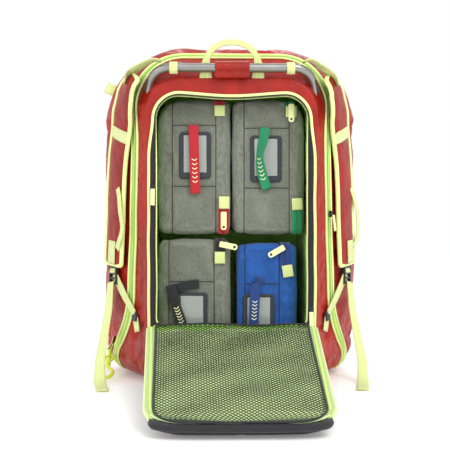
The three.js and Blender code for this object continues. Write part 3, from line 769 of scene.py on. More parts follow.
band_edges = [band_path(-0.0095, 0.0014), band_path(0.0095, 0.0014)]
zip_band = drawn_sheet("expansion_tape", lambda u, v: along_path(band_edges[0], v)[0].lerp(
    along_path(band_edges[1], v)[0], u), 6, 300, size=(0.018, 1.5))
thicken(zip_band, 0.0016, offset=0.0)
lime_webbing = webbing_cloth("lime_zip_tape", (0.42, 0.72, 0.14), ribs=700.0, cords=240.0)
dress(zip_band, lime_webbing, "pack", "hi_vis_webbing", "expansion_zip_band")
for label, offset in (("front", -0.0098), ("rear", 0.0098)):
    cord_piece = round_cord(f"expansion_edge_{label}", band_path(offset, 0.0018), 0.0021)
    dress(cord_piece, hi_vis_cord, "pack", "hi_vis_webbing")
teeth("expansion_coil", band_path(0.0, 0.0028, 500), lambda p: (p - Vector((0, p.y, 0.29))),
      (0.0058, 0.0021, 0.0017), 0.0030, hi_vis_coil, "pack", "hi_vis_webbing")

# ---- Carry frame and handle ----------------------------------------------------------------
# A bent aluminium tube stiffens the harness side; its bare cross bar shows above the opening,
# held by a red sleeve. A webbing grab handle is sewn behind it.

tube_low, tube_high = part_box("carry_frame_tube")
bar_z = tube_high.z - 0.008
bar_y = tube_low.y + 0.008
leg_x = tube_high.x - 0.008
leg_y = tube_high.y - 0.008
frame_half = [
    (leg_x, leg_y, 0.032), (leg_x, leg_y, 0.140), (leg_x, leg_y, 0.250), (leg_x, leg_y, 0.350),
    (leg_x, leg_y, 0.440), (leg_x, leg_y - 0.002, bar_z - 0.060), (leg_x - 0.002, leg_y - 0.014,
     bar_z - 0.030), (leg_x - 0.012, leg_y - 0.032, bar_z - 0.010), (leg_x - 0.034, bar_y, bar_z),
    (leg_x - 0.070, bar_y, bar_z), (0.040, bar_y, bar_z)]
frame_line = frame_half + [(-x, y, z) for x, y, z in reversed(frame_half)]
metal = Finish("brushed_aluminium", (0.30, 0.295, 0.285), 0.36, 1.0)
scratches = metal.effect(crease_tree, metal.stretched(metal.coords.outputs["Object"],
                                                      (0.25, 6.0, 6.0)), Scale=60.0)
metal.varied_roughness(scratches.outputs["Tone"], 0.22, 0.50)
metal.bump(scratches.outputs["Height"], 0.00012)
tube = round_cord("frame_tube", smooth_path(frame_line, 260), 0.008, sides=8)
dress(tube, metal.material, "pack", "tube_metal", "carry_frame_tube")

sleeve_low, sleeve_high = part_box("bar_sleeve")


def sleeve_surface(u, v):
    """Cloth wrapped over the bar, its two layers sewn flat together below it."""
    angle = u * math.tau + math.pi / 2
    y, z = 0.0103 * math.cos(angle), 0.0103 * math.sin(angle)
    if z < -0.004:
        y *= 0.55
        z = -0.004 + (z + 0.004) * 2.0
    x = sleeve_low.x + v * (sleeve_high.x - sleeve_low.x)
    pucker = 0.0007 * noise.noise(Vector((x * 120, angle, 1)))
    return Vector((x, bar_y + y * (1 + pucker * 40), bar_z + z + pucker))


sleeve = drawn_sheet("sleeve", sleeve_surface, 36, 30, closed=True)
thicken(sleeve, 0.0012, offset=1.0)
dress(sleeve, coated_red, "pack", "coated_red", "bar_sleeve")
for side_name in ("left", "right"):
    middle_x = middle_of(f"bar_loop_{side_name}").x
    wrap_path = [Vector((middle_x, bar_y + 0.0098 * math.cos(a), bar_z + 0.0098 * math.sin(a)))
                 for a in [math.tau * i / 32 for i in range(33)]]
    strip(f"bar_wrap_{side_name}", wrap_path, (1, 0, 0), 0.014, 0.0014, along=48,
          nodes_for=(f"bar_loop_{side_name}",))

grip_y = middle_of("carry_handle").y
arch = []
for i in range(25):
    angle = math.pi * i / 24
    arch.append((-0.046 * math.cos(angle), grip_y - 0.0005,
                 bar_z + 0.002 + 0.0455 * math.sin(angle) ** 0.8))
arch = [(-0.0455, grip_y, bar_z - 0.030), (-0.046, grip_y, bar_z - 0.012), *arch,
        (0.046, grip_y, bar_z - 0.012), (0.0455, grip_y, bar_z - 0.030)]
handle_line = smooth_path(arch, 90)
edge_on = [(p - Vector((0, p.y, bar_z - 0.01))).normalized() if p.z > bar_z + 0.006
           else Vector((1 if p.x > 0 else -1, 0, 0)) for p in handle_line]


def handle_width(v):
    near_foot = min(v, 1 - v) / 0.24
    return 0.010 + 0.016 * max(0.0, 1 - near_foot) ** 0.8


strip("grab_handle", handle_line, edge_on, handle_width, 0.0030, across=6, along=90,
      body="carry_handle", nodes_for=("carry_handle",))

# ---- Module pouches ------------------------------------------------------------------------
# Four padded fabric pouches sit in two columns. Each has sewn gussets, a zipper that runs over
# its top with a square tab at each end, a clear card window and a webbing pull handle.

seam_tree, seam_in, seam_out = effect_group(
    "sewn line", [("Across", "NodeSocketFloat", 0.0), ("Along", "NodeSocketFloat", 0.0)],
    [("Groove", "NodeSocketFloat"), ("Thread", "NodeSocketFloat")])
distance = math_node(seam_tree, "ABSOLUTE", seam_in.outputs["Across"])
fall = seam_tree.nodes.new("ShaderNodeMapRange")
fall.interpolation_type = "SMOOTHSTEP"
fall.inputs["From Min"].default_value = 0.0
fall.inputs["From Max"].default_value = 0.0016
fall.inputs["To Min"].default_value = 1.0
fall.inputs["To Max"].default_value = 0.0
seam_tree.links.new(distance, fall.inputs["Value"])
seam_tree.links.new(fall.outputs[0], seam_out.inputs["Groove"])
beside = math_node(seam_tree, "ABSOLUTE", math_node(seam_tree, "SUBTRACT", distance, 0.0038))
on_row = math_node(seam_tree, "LESS_THAN", beside, 0.0005)
beat = math_node(seam_tree, "FRACT", math_node(
    seam_tree, "MULTIPLY", seam_in.outputs["Along"], 330.0))
seam_tree.links.new(math_node(seam_tree, "MULTIPLY", on_row, math_node(
    seam_tree, "LESS_THAN", beat, 0.62)), seam_out.inputs["Thread"])


def mixed(tree, factor, first, second):
    node = tree.nodes.new("ShaderNodeMix")
    node.data_type = "RGBA"
    for socket, value in ((node.inputs[0], factor), (node.inputs[6], first), (node.inputs[7], second)):
        if isinstance(value, (int, float, tuple)):
            socket.default_value = value
        else:
            tree.links.new(value, socket)
    return node.outputs[2]


def pouch_cloth(name, colour, front, columns, rows):
    """Heathered twill with sewn lines: columns run over the whole pouch, rows on its face only."""
    finish = Finish(name, colour, 0.9)
    tree = finish.tree
    place = finish.coords.outputs["Object"]
    parts = tree.nodes.new("ShaderNodeSeparateXYZ")
    tree.links.new(place, parts.inputs[0])
    x, y, z = parts.outputs[0], parts.outputs[1], parts.outputs[2]
    around = math_node(tree, "ADD", y, z)
    facing = math_node(tree, "LESS_THAN", y, front + 0.006)
    between = math_node(tree, "MULTIPLY", math_node(tree, "GREATER_THAN", x, columns[0]),
                        math_node(tree, "LESS_THAN", x, columns[1]))
    shown = math_node(tree, "MULTIPLY", facing, between)
    lines = [(math_node(tree, "SUBTRACT", x, column), around, None) for column in columns]
    lines += [(math_node(tree, "SUBTRACT", z, row), x, shown) for row in rows]
    groove, thread = 0.0, 0.0
    for across, along, mask in lines:
        node = tree.nodes.new("ShaderNodeGroup")
        node.node_tree = seam_tree
        tree.links.new(across, node.inputs[0])
        tree.links.new(along, node.inputs[1])
        new_groove, new_thread = node.outputs[0], node.outputs[1]
        if mask is not None:
            new_groove = math_node(tree, "MULTIPLY", new_groove, mask)
            new_thread = math_node(tree, "MULTIPLY", new_thread, mask)
        groove = math_node(tree, "MAXIMUM", new_groove, groove)
        thread = math_node(tree, "MAXIMUM", new_thread, thread)
    folds = finish.effect(crease_tree, place, Scale=16.0)
    flecks = finish.effect(crease_tree, finish.stretched(place, (1.0, 1.0, 0.2)), Scale=900.0)
    weave = finish.effect(weave_tree, place, Threads=560.0)
    mixture = math_node(tree, "MULTIPLY_ADD", weave.outputs["Height"], 0.4,
                        math_node(tree, "MULTIPLY", flecks.outputs["Tone"], 0.6))
    ramp = finish.tint(mixture, shade(colour, 0.62), shade(colour, 1.42), 0.3, 0.68)
    # Painted shade: along each sewn line's groove the colour darkens towards a sixth of the cloth's own.
    seam_painted_shade = mixed(tree, math_node(tree, "MULTIPLY", groove, 0.82), ramp.outputs[0],
                   (*shade(colour, 0.16), 1))
    stitched = mixed(tree, math_node(tree, "MULTIPLY", thread, 0.45), seam_painted_shade,
                     (*shade(colour, 0.45), 1))
    tree.links.new(stitched, finish.shader.inputs["Base Color"])
    under = finish.bump(folds.outputs["Tone"], 0.012)
    under = finish.bump(math_node(tree, "SUBTRACT", 1.0, groove), 0.0022, under=under)
    finish.bump(mixture, 0.0007, under=under)
    finish.shader.inputs["Sheen Weight"].default_value = 0.12
    return finish.material


def remeshed_copy(name, node_name, voxel, smooth):
    """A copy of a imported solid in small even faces, its edges rounded off."""
    piece = link(name, nodes[node_name].data.copy())
    even = piece.modifiers.new("even", "REMESH")
    even.mode = "VOXEL"
    even.voxel_size = voxel
    ready = piece.evaluated_get(bpy.context.evaluated_depsgraph_get())
    mesh = bpy.data.meshes.new_from_object(ready)
    piece.modifiers.clear()
    piece.data = mesh
    bm = bmesh.new()
    bm.from_mesh(mesh)
    for _ in range(smooth):
        bmesh.ops.smooth_vert(bm, verts=bm.verts, factor=0.5, use_axis_x=True, use_axis_y=True,
                              use_axis_z=True)
    bm.to_mesh(mesh)
    bm.free()
    shade_smooth(mesh)
    return piece


def rounded_copy(name, node_name, width, segments, material, body, slot_name):
    """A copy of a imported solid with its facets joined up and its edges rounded."""
    piece = link(name, nodes[node_name].data.copy())
    bm = bmesh.new()
    bm.from_mesh(piece.data)
    bmesh.ops.remove_doubles(bm, verts=bm.verts, dist=1e-5)
    bmesh.ops.dissolve_limit(bm, angle_limit=0.02, verts=bm.verts, edges=bm.edges)
    bm.to_mesh(piece.data)
    bm.free()
    edges = round_edges(piece, width, segments)
    edges.limit_method = "ANGLE"
    edges.angle_limit = 0.6
    edges.harden_normals = True
    shade_smooth(piece.data)
    return dress(piece, material, body, slot_name, node_name)


def laid_path(points, surface, lift):
    result = []
    for point in points:
        spot, normal, _, _ = surface.find_nearest(point)
        result.append(spot + normal * lift)
    return smooth_path(result[::2] if len(result) > 20 else result, len(result))


def card_window(module, centre_x, top_z, face, half=0.028, tall=0.083):
    """Clear vinyl pocket bound in black tape, wider at its lower edge."""
    low_z = top_z - tall

    def rim(u, v):
        side_x, side_z = rounded_ring(u, half, low_z, top_z, 0.006, 0.006)
        in_x, in_z = rounded_ring(u, half - 0.0075, low_z + 0.011, top_z - 0.0055, 0.002, 0.002)
        x, z = side_x + (in_x - side_x) * v, side_z + (in_z - side_z) * v
        return Vector((centre_x + x, face - 0.0009 - 0.0013 * math.sin(math.pi * v) ** 0.5, z))

    frame_piece = drawn_sheet(f"{module}_window_binding", rim, 120, 8, closed=True)
    thicken(frame_piece, 0.0008, offset=0.0)
    dress(frame_piece, window_tape, module, "black_tape")

    def pane(u, v):
        x = centre_x + (u - 0.5) * 2 * (half - 0.007)
        z = low_z + 0.010 + v * (tall - 0.015)
        wave = 0.0005 * noise.noise(Vector((x * 60, z * 40, 3)))
        return Vector((x, face - 0.0011 + wave, z))

    clear = drawn_sheet(f"{module}_window_pane", pane, 20, 30)
    thicken(clear, 0.0005, offset=0.0)
    dress(clear, vinyl, module, "clear_window", f"{module}_window")


def zip_slider(name, node_name, body, material, slot_name, facing=(0, -1, 0), along=(0, 0, 1)):
    """Cast slider: two plates, the wedge between them and a bridge for the pull."""
    centre = middle_of(node_name)
    outward = Vector(facing).normalized()
    forward = Vector(along).normalized()
    side = forward.cross(outward).normalized()
    turn = upright(side, outward.cross(side), outward)
    bm = bmesh.new()
    blocks = [((0, 0, -0.0017), (0.0088, 0.0118, 0.0013)), ((0, 0, 0.0006), (0.0088, 0.0112, 0.0013)),
              ((0, 0.0042, -0.0005), (0.0024, 0.0030, 0.0024)),
              ((0, 0.0035, 0.0018), (0.0026, 0.0016, 0.0022)),
              ((0, -0.0030, 0.0018), (0.0026, 0.0016, 0.0022)), ((0, 0, 0.0031), (0.0026, 0.0078, 0.0011))]
    for where, size in blocks:
        add_block(bm, centre, turn, where, size)
    piece = piece_from(name, bm, smooth=True)
    round_edges(piece, 0.0005, 3).harden_normals = True
    return dress(piece, material, body, slot_name, node_name)


def stitched_marks(name, points, sides, start, end, count, body):
    """Embroidered chevrons in cream thread, standing slightly proud of the webbing."""
    bm = bmesh.new()
    for i in range(count):
        share = start + (end - start) * (i + 0.5) / count
        centre, forward = along_path(points, share)
        side = along_path(sides, share)[0] if isinstance(sides, list) else Vector(sides)
        side = (side - forward * side.dot(forward)).normalized()
        outward = forward.cross(side)
        if outward.y > 0:
            outward = -outward
        turn = upright(side, outward.cross(side), outward)
        for way in (-1, 1):
            lean = Matrix.Translation((way * 0.0023, 0, 0.0017)) @ Matrix.Rotation(way * 0.6, 4, "Z")
            bmesh.ops.create_cube(bm, size=1.0, matrix=Matrix.Translation(centre) @ turn @ lean
                                  @ Matrix.Diagonal((0.0056, 0.0015, 0.0009, 1)))
    piece = piece_from(name, bm)
    round_edges(piece, 0.0004, 2)
    return dress(piece, cream_thread, body, "hi_vis_webbing")


window_tape = soft_cloth("window_binding", (0.030, 0.034, 0.042), threads=700.0, depth=0.0003)
vinyl = Finish("clear_vinyl", (0.30, 0.325, 0.31), 0.16)
vinyl.shader.inputs["Coat Weight"].default_value = 0.6
vinyl_waves = vinyl.effect(crease_tree, vinyl.coords.outputs["Object"], Scale=20.0)
vinyl.bump(vinyl_waves.outputs["Tone"], 0.003)
vinyl = vinyl.material
cream_thread = Finish("cream_thread", (0.86, 0.84, 0.50), 0.7).material
yellow_rubber = Finish("yellow_rubber", (0.84, 0.88, 0.42), 0.42).material

GREY, BLUE = (0.165, 0.175, 0.140), (0.012, 0.085, 0.34)
TRIMS = {"upper_left": (0.52, 0.010, 0.020), "upper_right": (0.008, 0.27, 0.105),
         "lower_left": (0.014, 0.015, 0.018), "lower_right": (0.012, 0.055, 0.26)}
SLOTS = {"upper_left": "red_webbing", "upper_right": "green_webbing",
         "lower_left": "black_webbing", "lower_right": "blue_webbing"}
SEAM_COLUMNS = {"upper_left": (-0.106, -0.028), "upper_right": (0.023, 0.104),
                "lower_left": (-0.112, -0.031), "lower_right": (0.024, 0.086)}
SEAM_ROWS = {"upper_left": (0.4585, 0.349), "upper_right": (0.4535, 0.346),
             "lower_left": (0.178, 0.068), "lower_right": (0.1735, 0.066)}
# Centre x, where the tape starts at the lower tab, and the tabs' (x, top, bottom, lean).
ZIPS = {"upper_left": (-0.0215, 0.494, [(-0.021, 0.494, 0.475, 0.0), (-0.0130, 0.331, 0.309, 0.0)]),
        "upper_right": (0.1050, 0.492, [(0.1070, 0.493, 0.473, -0.03), (0.1180, 0.328, 0.307, 0.06)]),
        "lower_left": (-0.0200, 0.2325, [(-0.0207, 0.232, 0.2110, 0.0)]),
        "lower_right": (0.0965, 0.208, [(0.1010, 0.208, 0.187, 0.16)])}
LOWER_ZIPS = {"upper_left": (-0.0140, 0.311), "upper_right": (0.1180, 0.309)}

for short in ("upper_left", "upper_right", "lower_left", "lower_right"):
    module = f"module_{short}"
    pouch_low, pouch_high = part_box(f"{module}_pouch")
    columns, front = SEAM_COLUMNS[short], pouch_low.y
    pouch = remeshed_copy(f"{module}_body", f"{module}_pouch", 0.0045, 2)

    def face_held(co, columns=columns, front=front):
        on_face = co.y < front + 0.002 and columns[0] < co.x < columns[1]
        return 0.95 if on_face else 0.9 * max(0.0, 1 - min(abs(co.x - c) for c in columns) / 0.004)

    inflate(pouch, 3.0, 12, 0.0016, pin=face_held, slack=0.02, bend=0.3)
    seed = Vector((pouch_low.x * 31, 7, pouch_low.z * 17))
    for vert in pouch.data.vertices:
        dent = noise.noise(vert.co * 17 + seed) + 0.4 * noise.noise(vert.co * 41 + seed)
        near = min(abs(vert.co.x - c) for c in columns)
        groove = 0.0014 * max(0.0, 1 - near / 0.005)
        vert.co -= vert.normal * (0.0010 + 0.0012 * dent + groove)
    soft = pouch.modifiers.new("soft", "SUBSURF")
    soft.levels = soft.render_levels = 1
    colour = BLUE if short == "lower_right" else GREY
    cloth_material = pouch_cloth(f"{short}_twill", colour, front, columns, SEAM_ROWS[short])
    dress(pouch, cloth_material, module, "blue_cloth" if short == "lower_right" else "grey_cloth",
          f"{module}_pouch")
    surface = surface_of(pouch)

    trim = webbing_cloth(f"{short}_webbing", TRIMS[short], ribs=560.0, cords=300.0)
    tape_cloth = webbing_cloth(f"{short}_zip_tape", shade(TRIMS[short], 1.1), ribs=900.0, cords=110.0)
    coil = Finish(f"{short}_coil", shade(TRIMS[short], 0.6), 0.4).material
    top = pouch_high.z
    runs = [(ZIPS[short][0], ZIPS[short][1] - 0.004, True)]
    if short in LOWER_ZIPS:
        runs.append((*LOWER_ZIPS[short], False))
    for number, (zip_x, start_z, upwards) in enumerate(runs):
        if upwards:
            guide = [(zip_x, front, start_z), (zip_x, front, (start_z + top) / 2),
                     (zip_x, front, top - 0.008), (zip_x, front + 0.006, top + 0.001),
                     (zip_x, front + 0.03, top), (zip_x, front + 0.07, top), (zip_x, front + 0.12, top)]
        else:
            low_z = pouch_low.z
            guide = [(zip_x, front, start_z), (zip_x, front, (start_z + low_z) / 2),
                     (zip_x, front, low_z + 0.008), (zip_x, front + 0.006, low_z - 0.001),
                     (zip_x, front + 0.04, low_z)]
        line = laid_path(smooth_path(guide, 60), surface, 0.0014)
        strip(f"{module}_zip_{number}", line, (1, 0, 0), 0.0185, 0.0011, body=module,
              material=tape_cloth, slot_name=SLOTS[short], cupped=0.0006)
        teeth(f"{module}_coil_{number}", [p + Vector((0, -0.0006, 0)) for p in line], (0, -1, 0.02),
              (0.0046, 0.0016, 0.0013), 0.0024, coil, module, SLOTS[short])
    for number, (tab_x, tab_top, tab_low, lean) in enumerate(ZIPS[short][2]):
        reach = (tab_top - tab_low) * lean
        tab_line = [Vector((tab_x - reach / 2 + reach * i / 8, front - 0.0026 - 0.0006 * math.sin(
            math.pi * i / 8), tab_top + (tab_low - tab_top) * i / 8)) for i in range(9)]
        strip(f"{module}_tab_{number}", tab_line, (1, 0, lean), 0.0188, 0.0018, body=module,
              along=10)
    card_window(module, middle_of(f"{module}_window").x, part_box(f"{module}_window")[1].z, front)
    zip_slider(f"{module}_zip_slider", f"{module}_slider", f"{module}_slider", coil, SLOTS[short])
    rounded_copy(f"{module}_pull_tab", f"{module}_puller", 0.0006, 3, yellow_rubber,
                 f"{module}_puller", "hi_vis_webbing")

    grip_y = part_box(f"{module}_handle")[0].y + 0.0012
    sewn_y = front - 0.0020
    if short == "upper_left":
        line = [(-0.0680, sewn_y, 0.459), (-0.0678, sewn_y - 0.002, 0.450), (-0.0672, grip_y, 0.430),
                (-0.0660, grip_y - 0.001, 0.390), (-0.0648, grip_y, 0.352), (-0.0645, grip_y, 0.336)]
        sides = (1, 0, 0)
    elif short == "upper_right":
        line = [(0.0603, sewn_y, 0.4545), (0.0595, sewn_y - 0.002, 0.446), (0.0560, grip_y, 0.429),
                (0.0505, grip_y - 0.001, 0.405), (0.0530, grip_y - 0.002, 0.378), (0.0600, grip_y, 0.354),
                (0.0640, grip_y, 0.344)]
        sides = [(1, 0, 0), (1, -0.15, 0), (0.65, -0.9, 0.2), (0.95, -0.35, 0.15), (1, 0, 0.1),
                 (1, 0.05, 0.2), (1, 0.1, 0.25)]
    elif short == "lower_left":
        sewn = [(-0.058, sewn_y, 0.1745), (-0.078, sewn_y - 0.003, 0.1725), (-0.098, grip_y + 0.004, 0.1665)]
        strip(f"{module}_handle_root", smooth_path(sewn, 16), (0.15, 0, 1), 0.0165, 0.0018,
              body=f"{module}_handle", material=trim, slot_name=SLOTS[short])
        line = [(-0.1090, grip_y + 0.004, 0.1730), (-0.1050, grip_y + 0.001, 0.160),
                (-0.0985, grip_y, 0.134), (-0.0910, grip_y, 0.112), (-0.0850, grip_y + 0.001, 0.0935)]
        sides = (1, 0, 0.28)
    else:
        line = [(0.0530, sewn_y, 0.1735), (0.0500, sewn_y - 0.003, 0.1800), (0.0455, grip_y, 0.1790),
                (0.0425, grip_y, 0.165), (0.0415, grip_y - 0.001, 0.145), (0.0400, grip_y, 0.112),
                (0.0395, grip_y + 0.001, 0.0955)]
        sides = [(0.5, 0, 0.85), (0.6, 0.1, 0.8), (0.9, 0.1, 0.45), (1, 0, 0.1), (1, 0, 0), (1, 0, 0),
                 (1, 0, 0)]
    line = smooth_path(line, 60)
    if isinstance(sides, list):
        sides = smooth_path(sides, 60)
    strip(f"{module}_handle_strap", line, sides, 0.0175, 0.0026, across=8, body=f"{module}_handle",
          material=trim, slot_name=SLOTS[short], nodes_for=(f"{module}_handle",), ripple=0.0004)
    stitched_marks(f"{module}_stitching", line, sides, 0.48, 0.86, 6, f"{module}_handle")

# ---- Fold-down door ------------------------------------------------------------------------
# The door is the harness-side panel, unzipped and folded down onto the floor: a black foam back
# pad outside, lime lining inside, hi-vis zipper tape round its edge and a pocket of black net.

DOOR_TURN = math.radians(101.6)
hinge = Vector((0, face_y - 0.0075, sill - 0.002))
door_along = Vector((0, -math.sin(DOOR_TURN), math.cos(DOOR_TURN)))
door_inward = Vector((0, math.cos(DOOR_TURN), math.sin(DOOR_TURN)))
DOOR_START, DOOR_END = 0.004, 0.405
ROOT_HALF, TIP_HALF = opening_half + 0.013, opening_half - 0.004


def door_point(x, reach, lift):
    return hinge + Vector((x, 0, 0)) + door_along * reach + door_inward * lift


def door_half(reach, root, tip, start, end, corner):
    straight = end - corner
    if reach <= straight:
        return root + (tip - root) * (reach - start) / (straight - start)
    return tip - corner + math.sqrt(max(corner ** 2 - (reach - straight) ** 2, 0))


def door_sheet(name, outline, lift, across, along, thickness, offset):
    root, tip, start, end, corner = outline

    def place(u, v):
        reach = start + (end - start) * math.sin(v * math.pi / 2) ** 0.9
        x = (2 * u - 1) * door_half(reach, *outline)
        height = lift(x, reach) if callable(lift) else lift
        return door_point(x, reach, height)

    return thicken(drawn_sheet(name, place, across, along, size=(0.27, 0.4)), thickness, offset)


def door_outline(root, tip, start, end, corner):
    side = [(door_half(start + (end - corner - start) * i / 30, root, tip, start, end, corner),
             start + (end - corner - start) * i / 30) for i in range(31)]
    arc = [(tip - corner + corner * math.cos(a), end - corner + corner * math.sin(a))
           for a in [math.pi / 2 * i / 12 for i in range(1, 13)]]
    right = side + arc + [((tip - corner) * (1 - i / 10), end) for i in range(1, 11)]
    return right + [(-x, reach) for x, reach in reversed(right[:-1])]


def tucked(reach):
    """The zipper tape turns under the lining where the door's tip bulges over it."""
    share = min(max((reach - DOOR_END + 0.046) / 0.032, 0.0), 1.0)
    return 0.0070 * share * share * (3 - 2 * share)


def door_line(outline, lift, count=300):
    return smooth_path([door_point(x, reach, lift - tucked(reach))
                        for x, reach in door_outline(*outline)], count)


def folds_in_lining(x, reach):
    spot = Vector((x * 13, reach * 9, 4))
    return 0.0004 + 0.0012 * noise.noise(spot) + 0.0006 * noise.noise(spot * 3)


edge_outline = (ROOT_HALF, TIP_HALF, DOOR_START, DOOR_END, 0.056)
inner_outline = (opening_half, TIP_HALF - 0.015, DOOR_START, DOOR_END - 0.012, 0.045)
door_lining = door_sheet("door_lining", (ROOT_HALF - 0.003, TIP_HALF - 0.003, DOOR_START,
                         DOOR_END - 0.006, 0.054), folds_in_lining, 60, 80, 0.0008, 1.0)
# Painted light: the door's lining is the same lime cloth as the compartment lining, painted much paler to
# stand for the light on the open door and under the net.
door_lining_painted_light = soft_cloth("door_lining_painted_light", (0.80, 1.0, 0.46), threads=900.0, depth=0.0002)
dress(door_lining, door_lining_painted_light, "door", "lining")
black_padding = soft_cloth("black_padding", (0.017, 0.017, 0.020), threads=420.0, depth=0.0009)
door_panel = door_sheet("door_panel_cloth", edge_outline, -0.0022, 50, 70, 0.0028, 1.0)
dress(door_panel, black_padding, "door", "black_padding", "door_panel")
back_pad = remeshed_copy("back_pad", "door_back_pad", 0.006, 2)
inflate(back_pad, 2.0, 10, 0.0016, slack=0.01, bend=0.4)
for vert in back_pad.data.vertices:
    reach = (vert.co - hinge).dot(door_along)
    ridge = 0.5 - 0.5 * math.cos(reach / 0.062 * math.tau)
    across_ridge = min(abs(vert.co.x) / 0.004, 1.0)
    vert.co += door_inward * 0.0026 * (1 - min(ridge * 3, 1) * across_ridge) * (
        1 if vert.normal.dot(door_inward) < -0.5 else 0)
dress(back_pad, black_padding, "door", "black_padding", "door_back_pad")

tape_outline = (*edge_outline[:3], DOOR_END - 0.003, edge_outline[4])
edge_line, inner_line = door_line(tape_outline, 0.0016), door_line(inner_outline, 0.0016)
door_tape = drawn_sheet("door_tape", lambda u, v: along_path(edge_line, v)[0].lerp(
    along_path(inner_line, v)[0], u), 8, 300, size=(0.015, 1.1))
thicken(door_tape, 0.0012, offset=0.0)
dress(door_tape, webbing_cloth("door_zip_tape", (0.62, 0.84, 0.36), ribs=900.0, cords=200.0),
      "door", "hi_vis_webbing", "door_zip_tape")
door_edge = round_cord("door_binding", door_line(tape_outline, -0.0008), 0.0024)
dress(door_edge, hi_vis_cord, "door", "hi_vis_webbing")
# A rolled black edge closes the door's tip, over the end of the tape.
tip_line = [door_point((TIP_HALF - 0.012) * math.sin(i / 40 * math.pi / 2), DOOR_END - 0.0035 - 0.020
                       * (1 - math.cos(i / 40 * math.pi / 2)) ** 2, -0.0058) for i in range(-40, 41)]
tip_roll = round_cord("door_tip_roll", smooth_path(tip_line, 120), 0.0056, sides=5)
dress(tip_roll, black_padding, "door", "black_padding")
middle_outline = tuple((a + b) / 2 for a, b in zip(tape_outline, inner_outline))
teeth("door_coil", door_line(middle_outline, 0.0030), door_inward, (0.0042, 0.0019, 0.0016), 0.0028,
      hi_vis_coil, "door", "hi_vis_webbing")

net_outline = (opening_half - 0.001, TIP_HALF - 0.012, 0.001, DOOR_END - 0.004, 0.046)


def net_height(x, reach):
    """The net hangs a little slack: it stands off the lining in long shallow swells."""
    near_edge = min((net_outline[3] - reach) / 0.03, 1.0, (net_outline[0] - abs(x)) / 0.03)
    swell = 0.5 + noise.noise(Vector((x * 11 + reach * 6, reach * 10, 9)))
    return 0.0028 + 0.0030 * max(near_edge, 0) * swell + 0.0030 * max(0, 1 - reach / 0.03)


NET_CELLS = (31, 47)
bm = bmesh.new()
bmesh.ops.create_grid(bm, x_segments=NET_CELLS[0], y_segments=NET_CELLS[1], size=0.5)
woven = [edge for edge in bm.edges if not edge.is_boundary]
bmesh.ops.poke(bm, faces=bm.faces)
bmesh.ops.dissolve_edges(bm, edges=woven, use_verts=False)
for vert in bm.verts:
    share = vert.co.y + 0.5
    reach = net_outline[2] + (net_outline[3] - net_outline[2]) * share
    x = 2 * vert.co.x * door_half(reach, *net_outline)
    vert.co = door_point(x, reach, net_height(x, reach))
net = piece_from("net_pocket", bm, smooth=True)
strands = net.modifiers.new("strands", "WIREFRAME")
strands.thickness = 0.0014
strands.use_even_offset = False
strands.use_boundary = True
black_net = Finish("black_net", (0.012, 0.026, 0.010), 0.6).material
dress(net, black_net, "door", "net", "door_mesh_pocket")
hem_points = [door_point(x, reach, net_height(x, reach)) for x, reach in door_outline(*net_outline)]
hem = round_cord("net_hem", smooth_path(hem_points, 260), 0.0016)
dress(hem, black_tape, "door", "net")
mouth = [door_point(net_outline[0] * (i / 15 - 1), 0.003, net_height(net_outline[0] * (i / 15 - 1), 0.003))
         for i in range(31)]
mouth_hem = round_cord("net_mouth_hem", smooth_path(mouth, 90), 0.0016)
dress(mouth_hem, black_tape, "door", "net")

# Cloth hinge from the wall below the opening to the door.
fold_ends = [Vector((0, face_y + 0.011, sill + 0.0012)), Vector((0, face_y - 0.0005, sill + 0.0022)),
             Vector((0, face_y - 0.006, sill + 0.0016)), door_point(0, 0.006, 0.0006),
             door_point(0, 0.016, 0.0003)]
fold_line = smooth_path(fold_ends, 20)


def hinge_fold(u, v):
    point, _ = along_path(fold_line, v)
    rise = 0.0006 * noise.noise(Vector((u * 9, v * 3, 6)))
    return point + Vector(((2 * u - 1) * (opening_half + 0.0020 + 0.012 * max(v - 0.4, 0)), 0, rise))


fold = thicken(drawn_sheet("door_hinge_cloth", hinge_fold, 60, 14), 0.0008, 1.0)
fold.data.materials.append(lining_cloth)
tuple(fold_ends[1])
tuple(fold_ends[3])
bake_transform(fold)

# ---- Shoulder straps -----------------------------------------------------------------------
# Each strap is a long foam pad, red outside and black net against the back, bound in hi-vis
# tape. Its webbing runs through a ladder lock to the lower corner, and the spare end hangs.

STRAP_OFF = 0.011
STRAP_HALF, STRAP_BELLY = 0.0305, 0.0052
ROUTE = [(0.038, 0.545, 0.015), (0.042, 0.522, 0.012), (0.050, 0.490, 0.007), (0.064, 0.450, 0.002),
         (0.078, 0.400, 0.0), (0.084, 0.340, 0.0), (0.086, 0.290, 0.0), (0.090, 0.235, 0.0),
         (0.092, 0.208, 0.0)]
black_plastic = Finish("black_plastic", (0.012, 0.012, 0.013), 0.38).material
black_mesh = soft_cloth("black_mesh", (0.022, 0.022, 0.024), threads=300.0, depth=0.0012)
# Painted shade: the straps take the pack's coated red darkened to 0.82, a shaded copy of the same fabric.
strap_red_painted_shade = coated_fabric("strap_fabric", shade(RED, 0.82))
patch_cloth = webbing_cloth("hi_vis_patch", (0.80, 0.88, 0.40), ribs=800.0, cords=420.0)


def end_rounding(share):
    """1 along the strap, falling to 0 over its two rounded ends."""
    return math.sqrt(max(1 - max(abs(2 * share - 1) - 0.965, 0) ** 2 / 0.035 ** 2, 0.0))


def slope_normal(sign, depth):
    step = skin_x(depth + 0.005, 0.300) - skin_x(depth - 0.005, 0.300)
    return Vector((sign * 0.010, -step, 0)).normalized()


def beside_pack(sign, depth, z, out):
    skin = skin_x(depth, min(z, station(depth)[3] - 0.030))
    return Vector((sign * skin, face_y + depth, z)) + slope_normal(sign, depth) * out


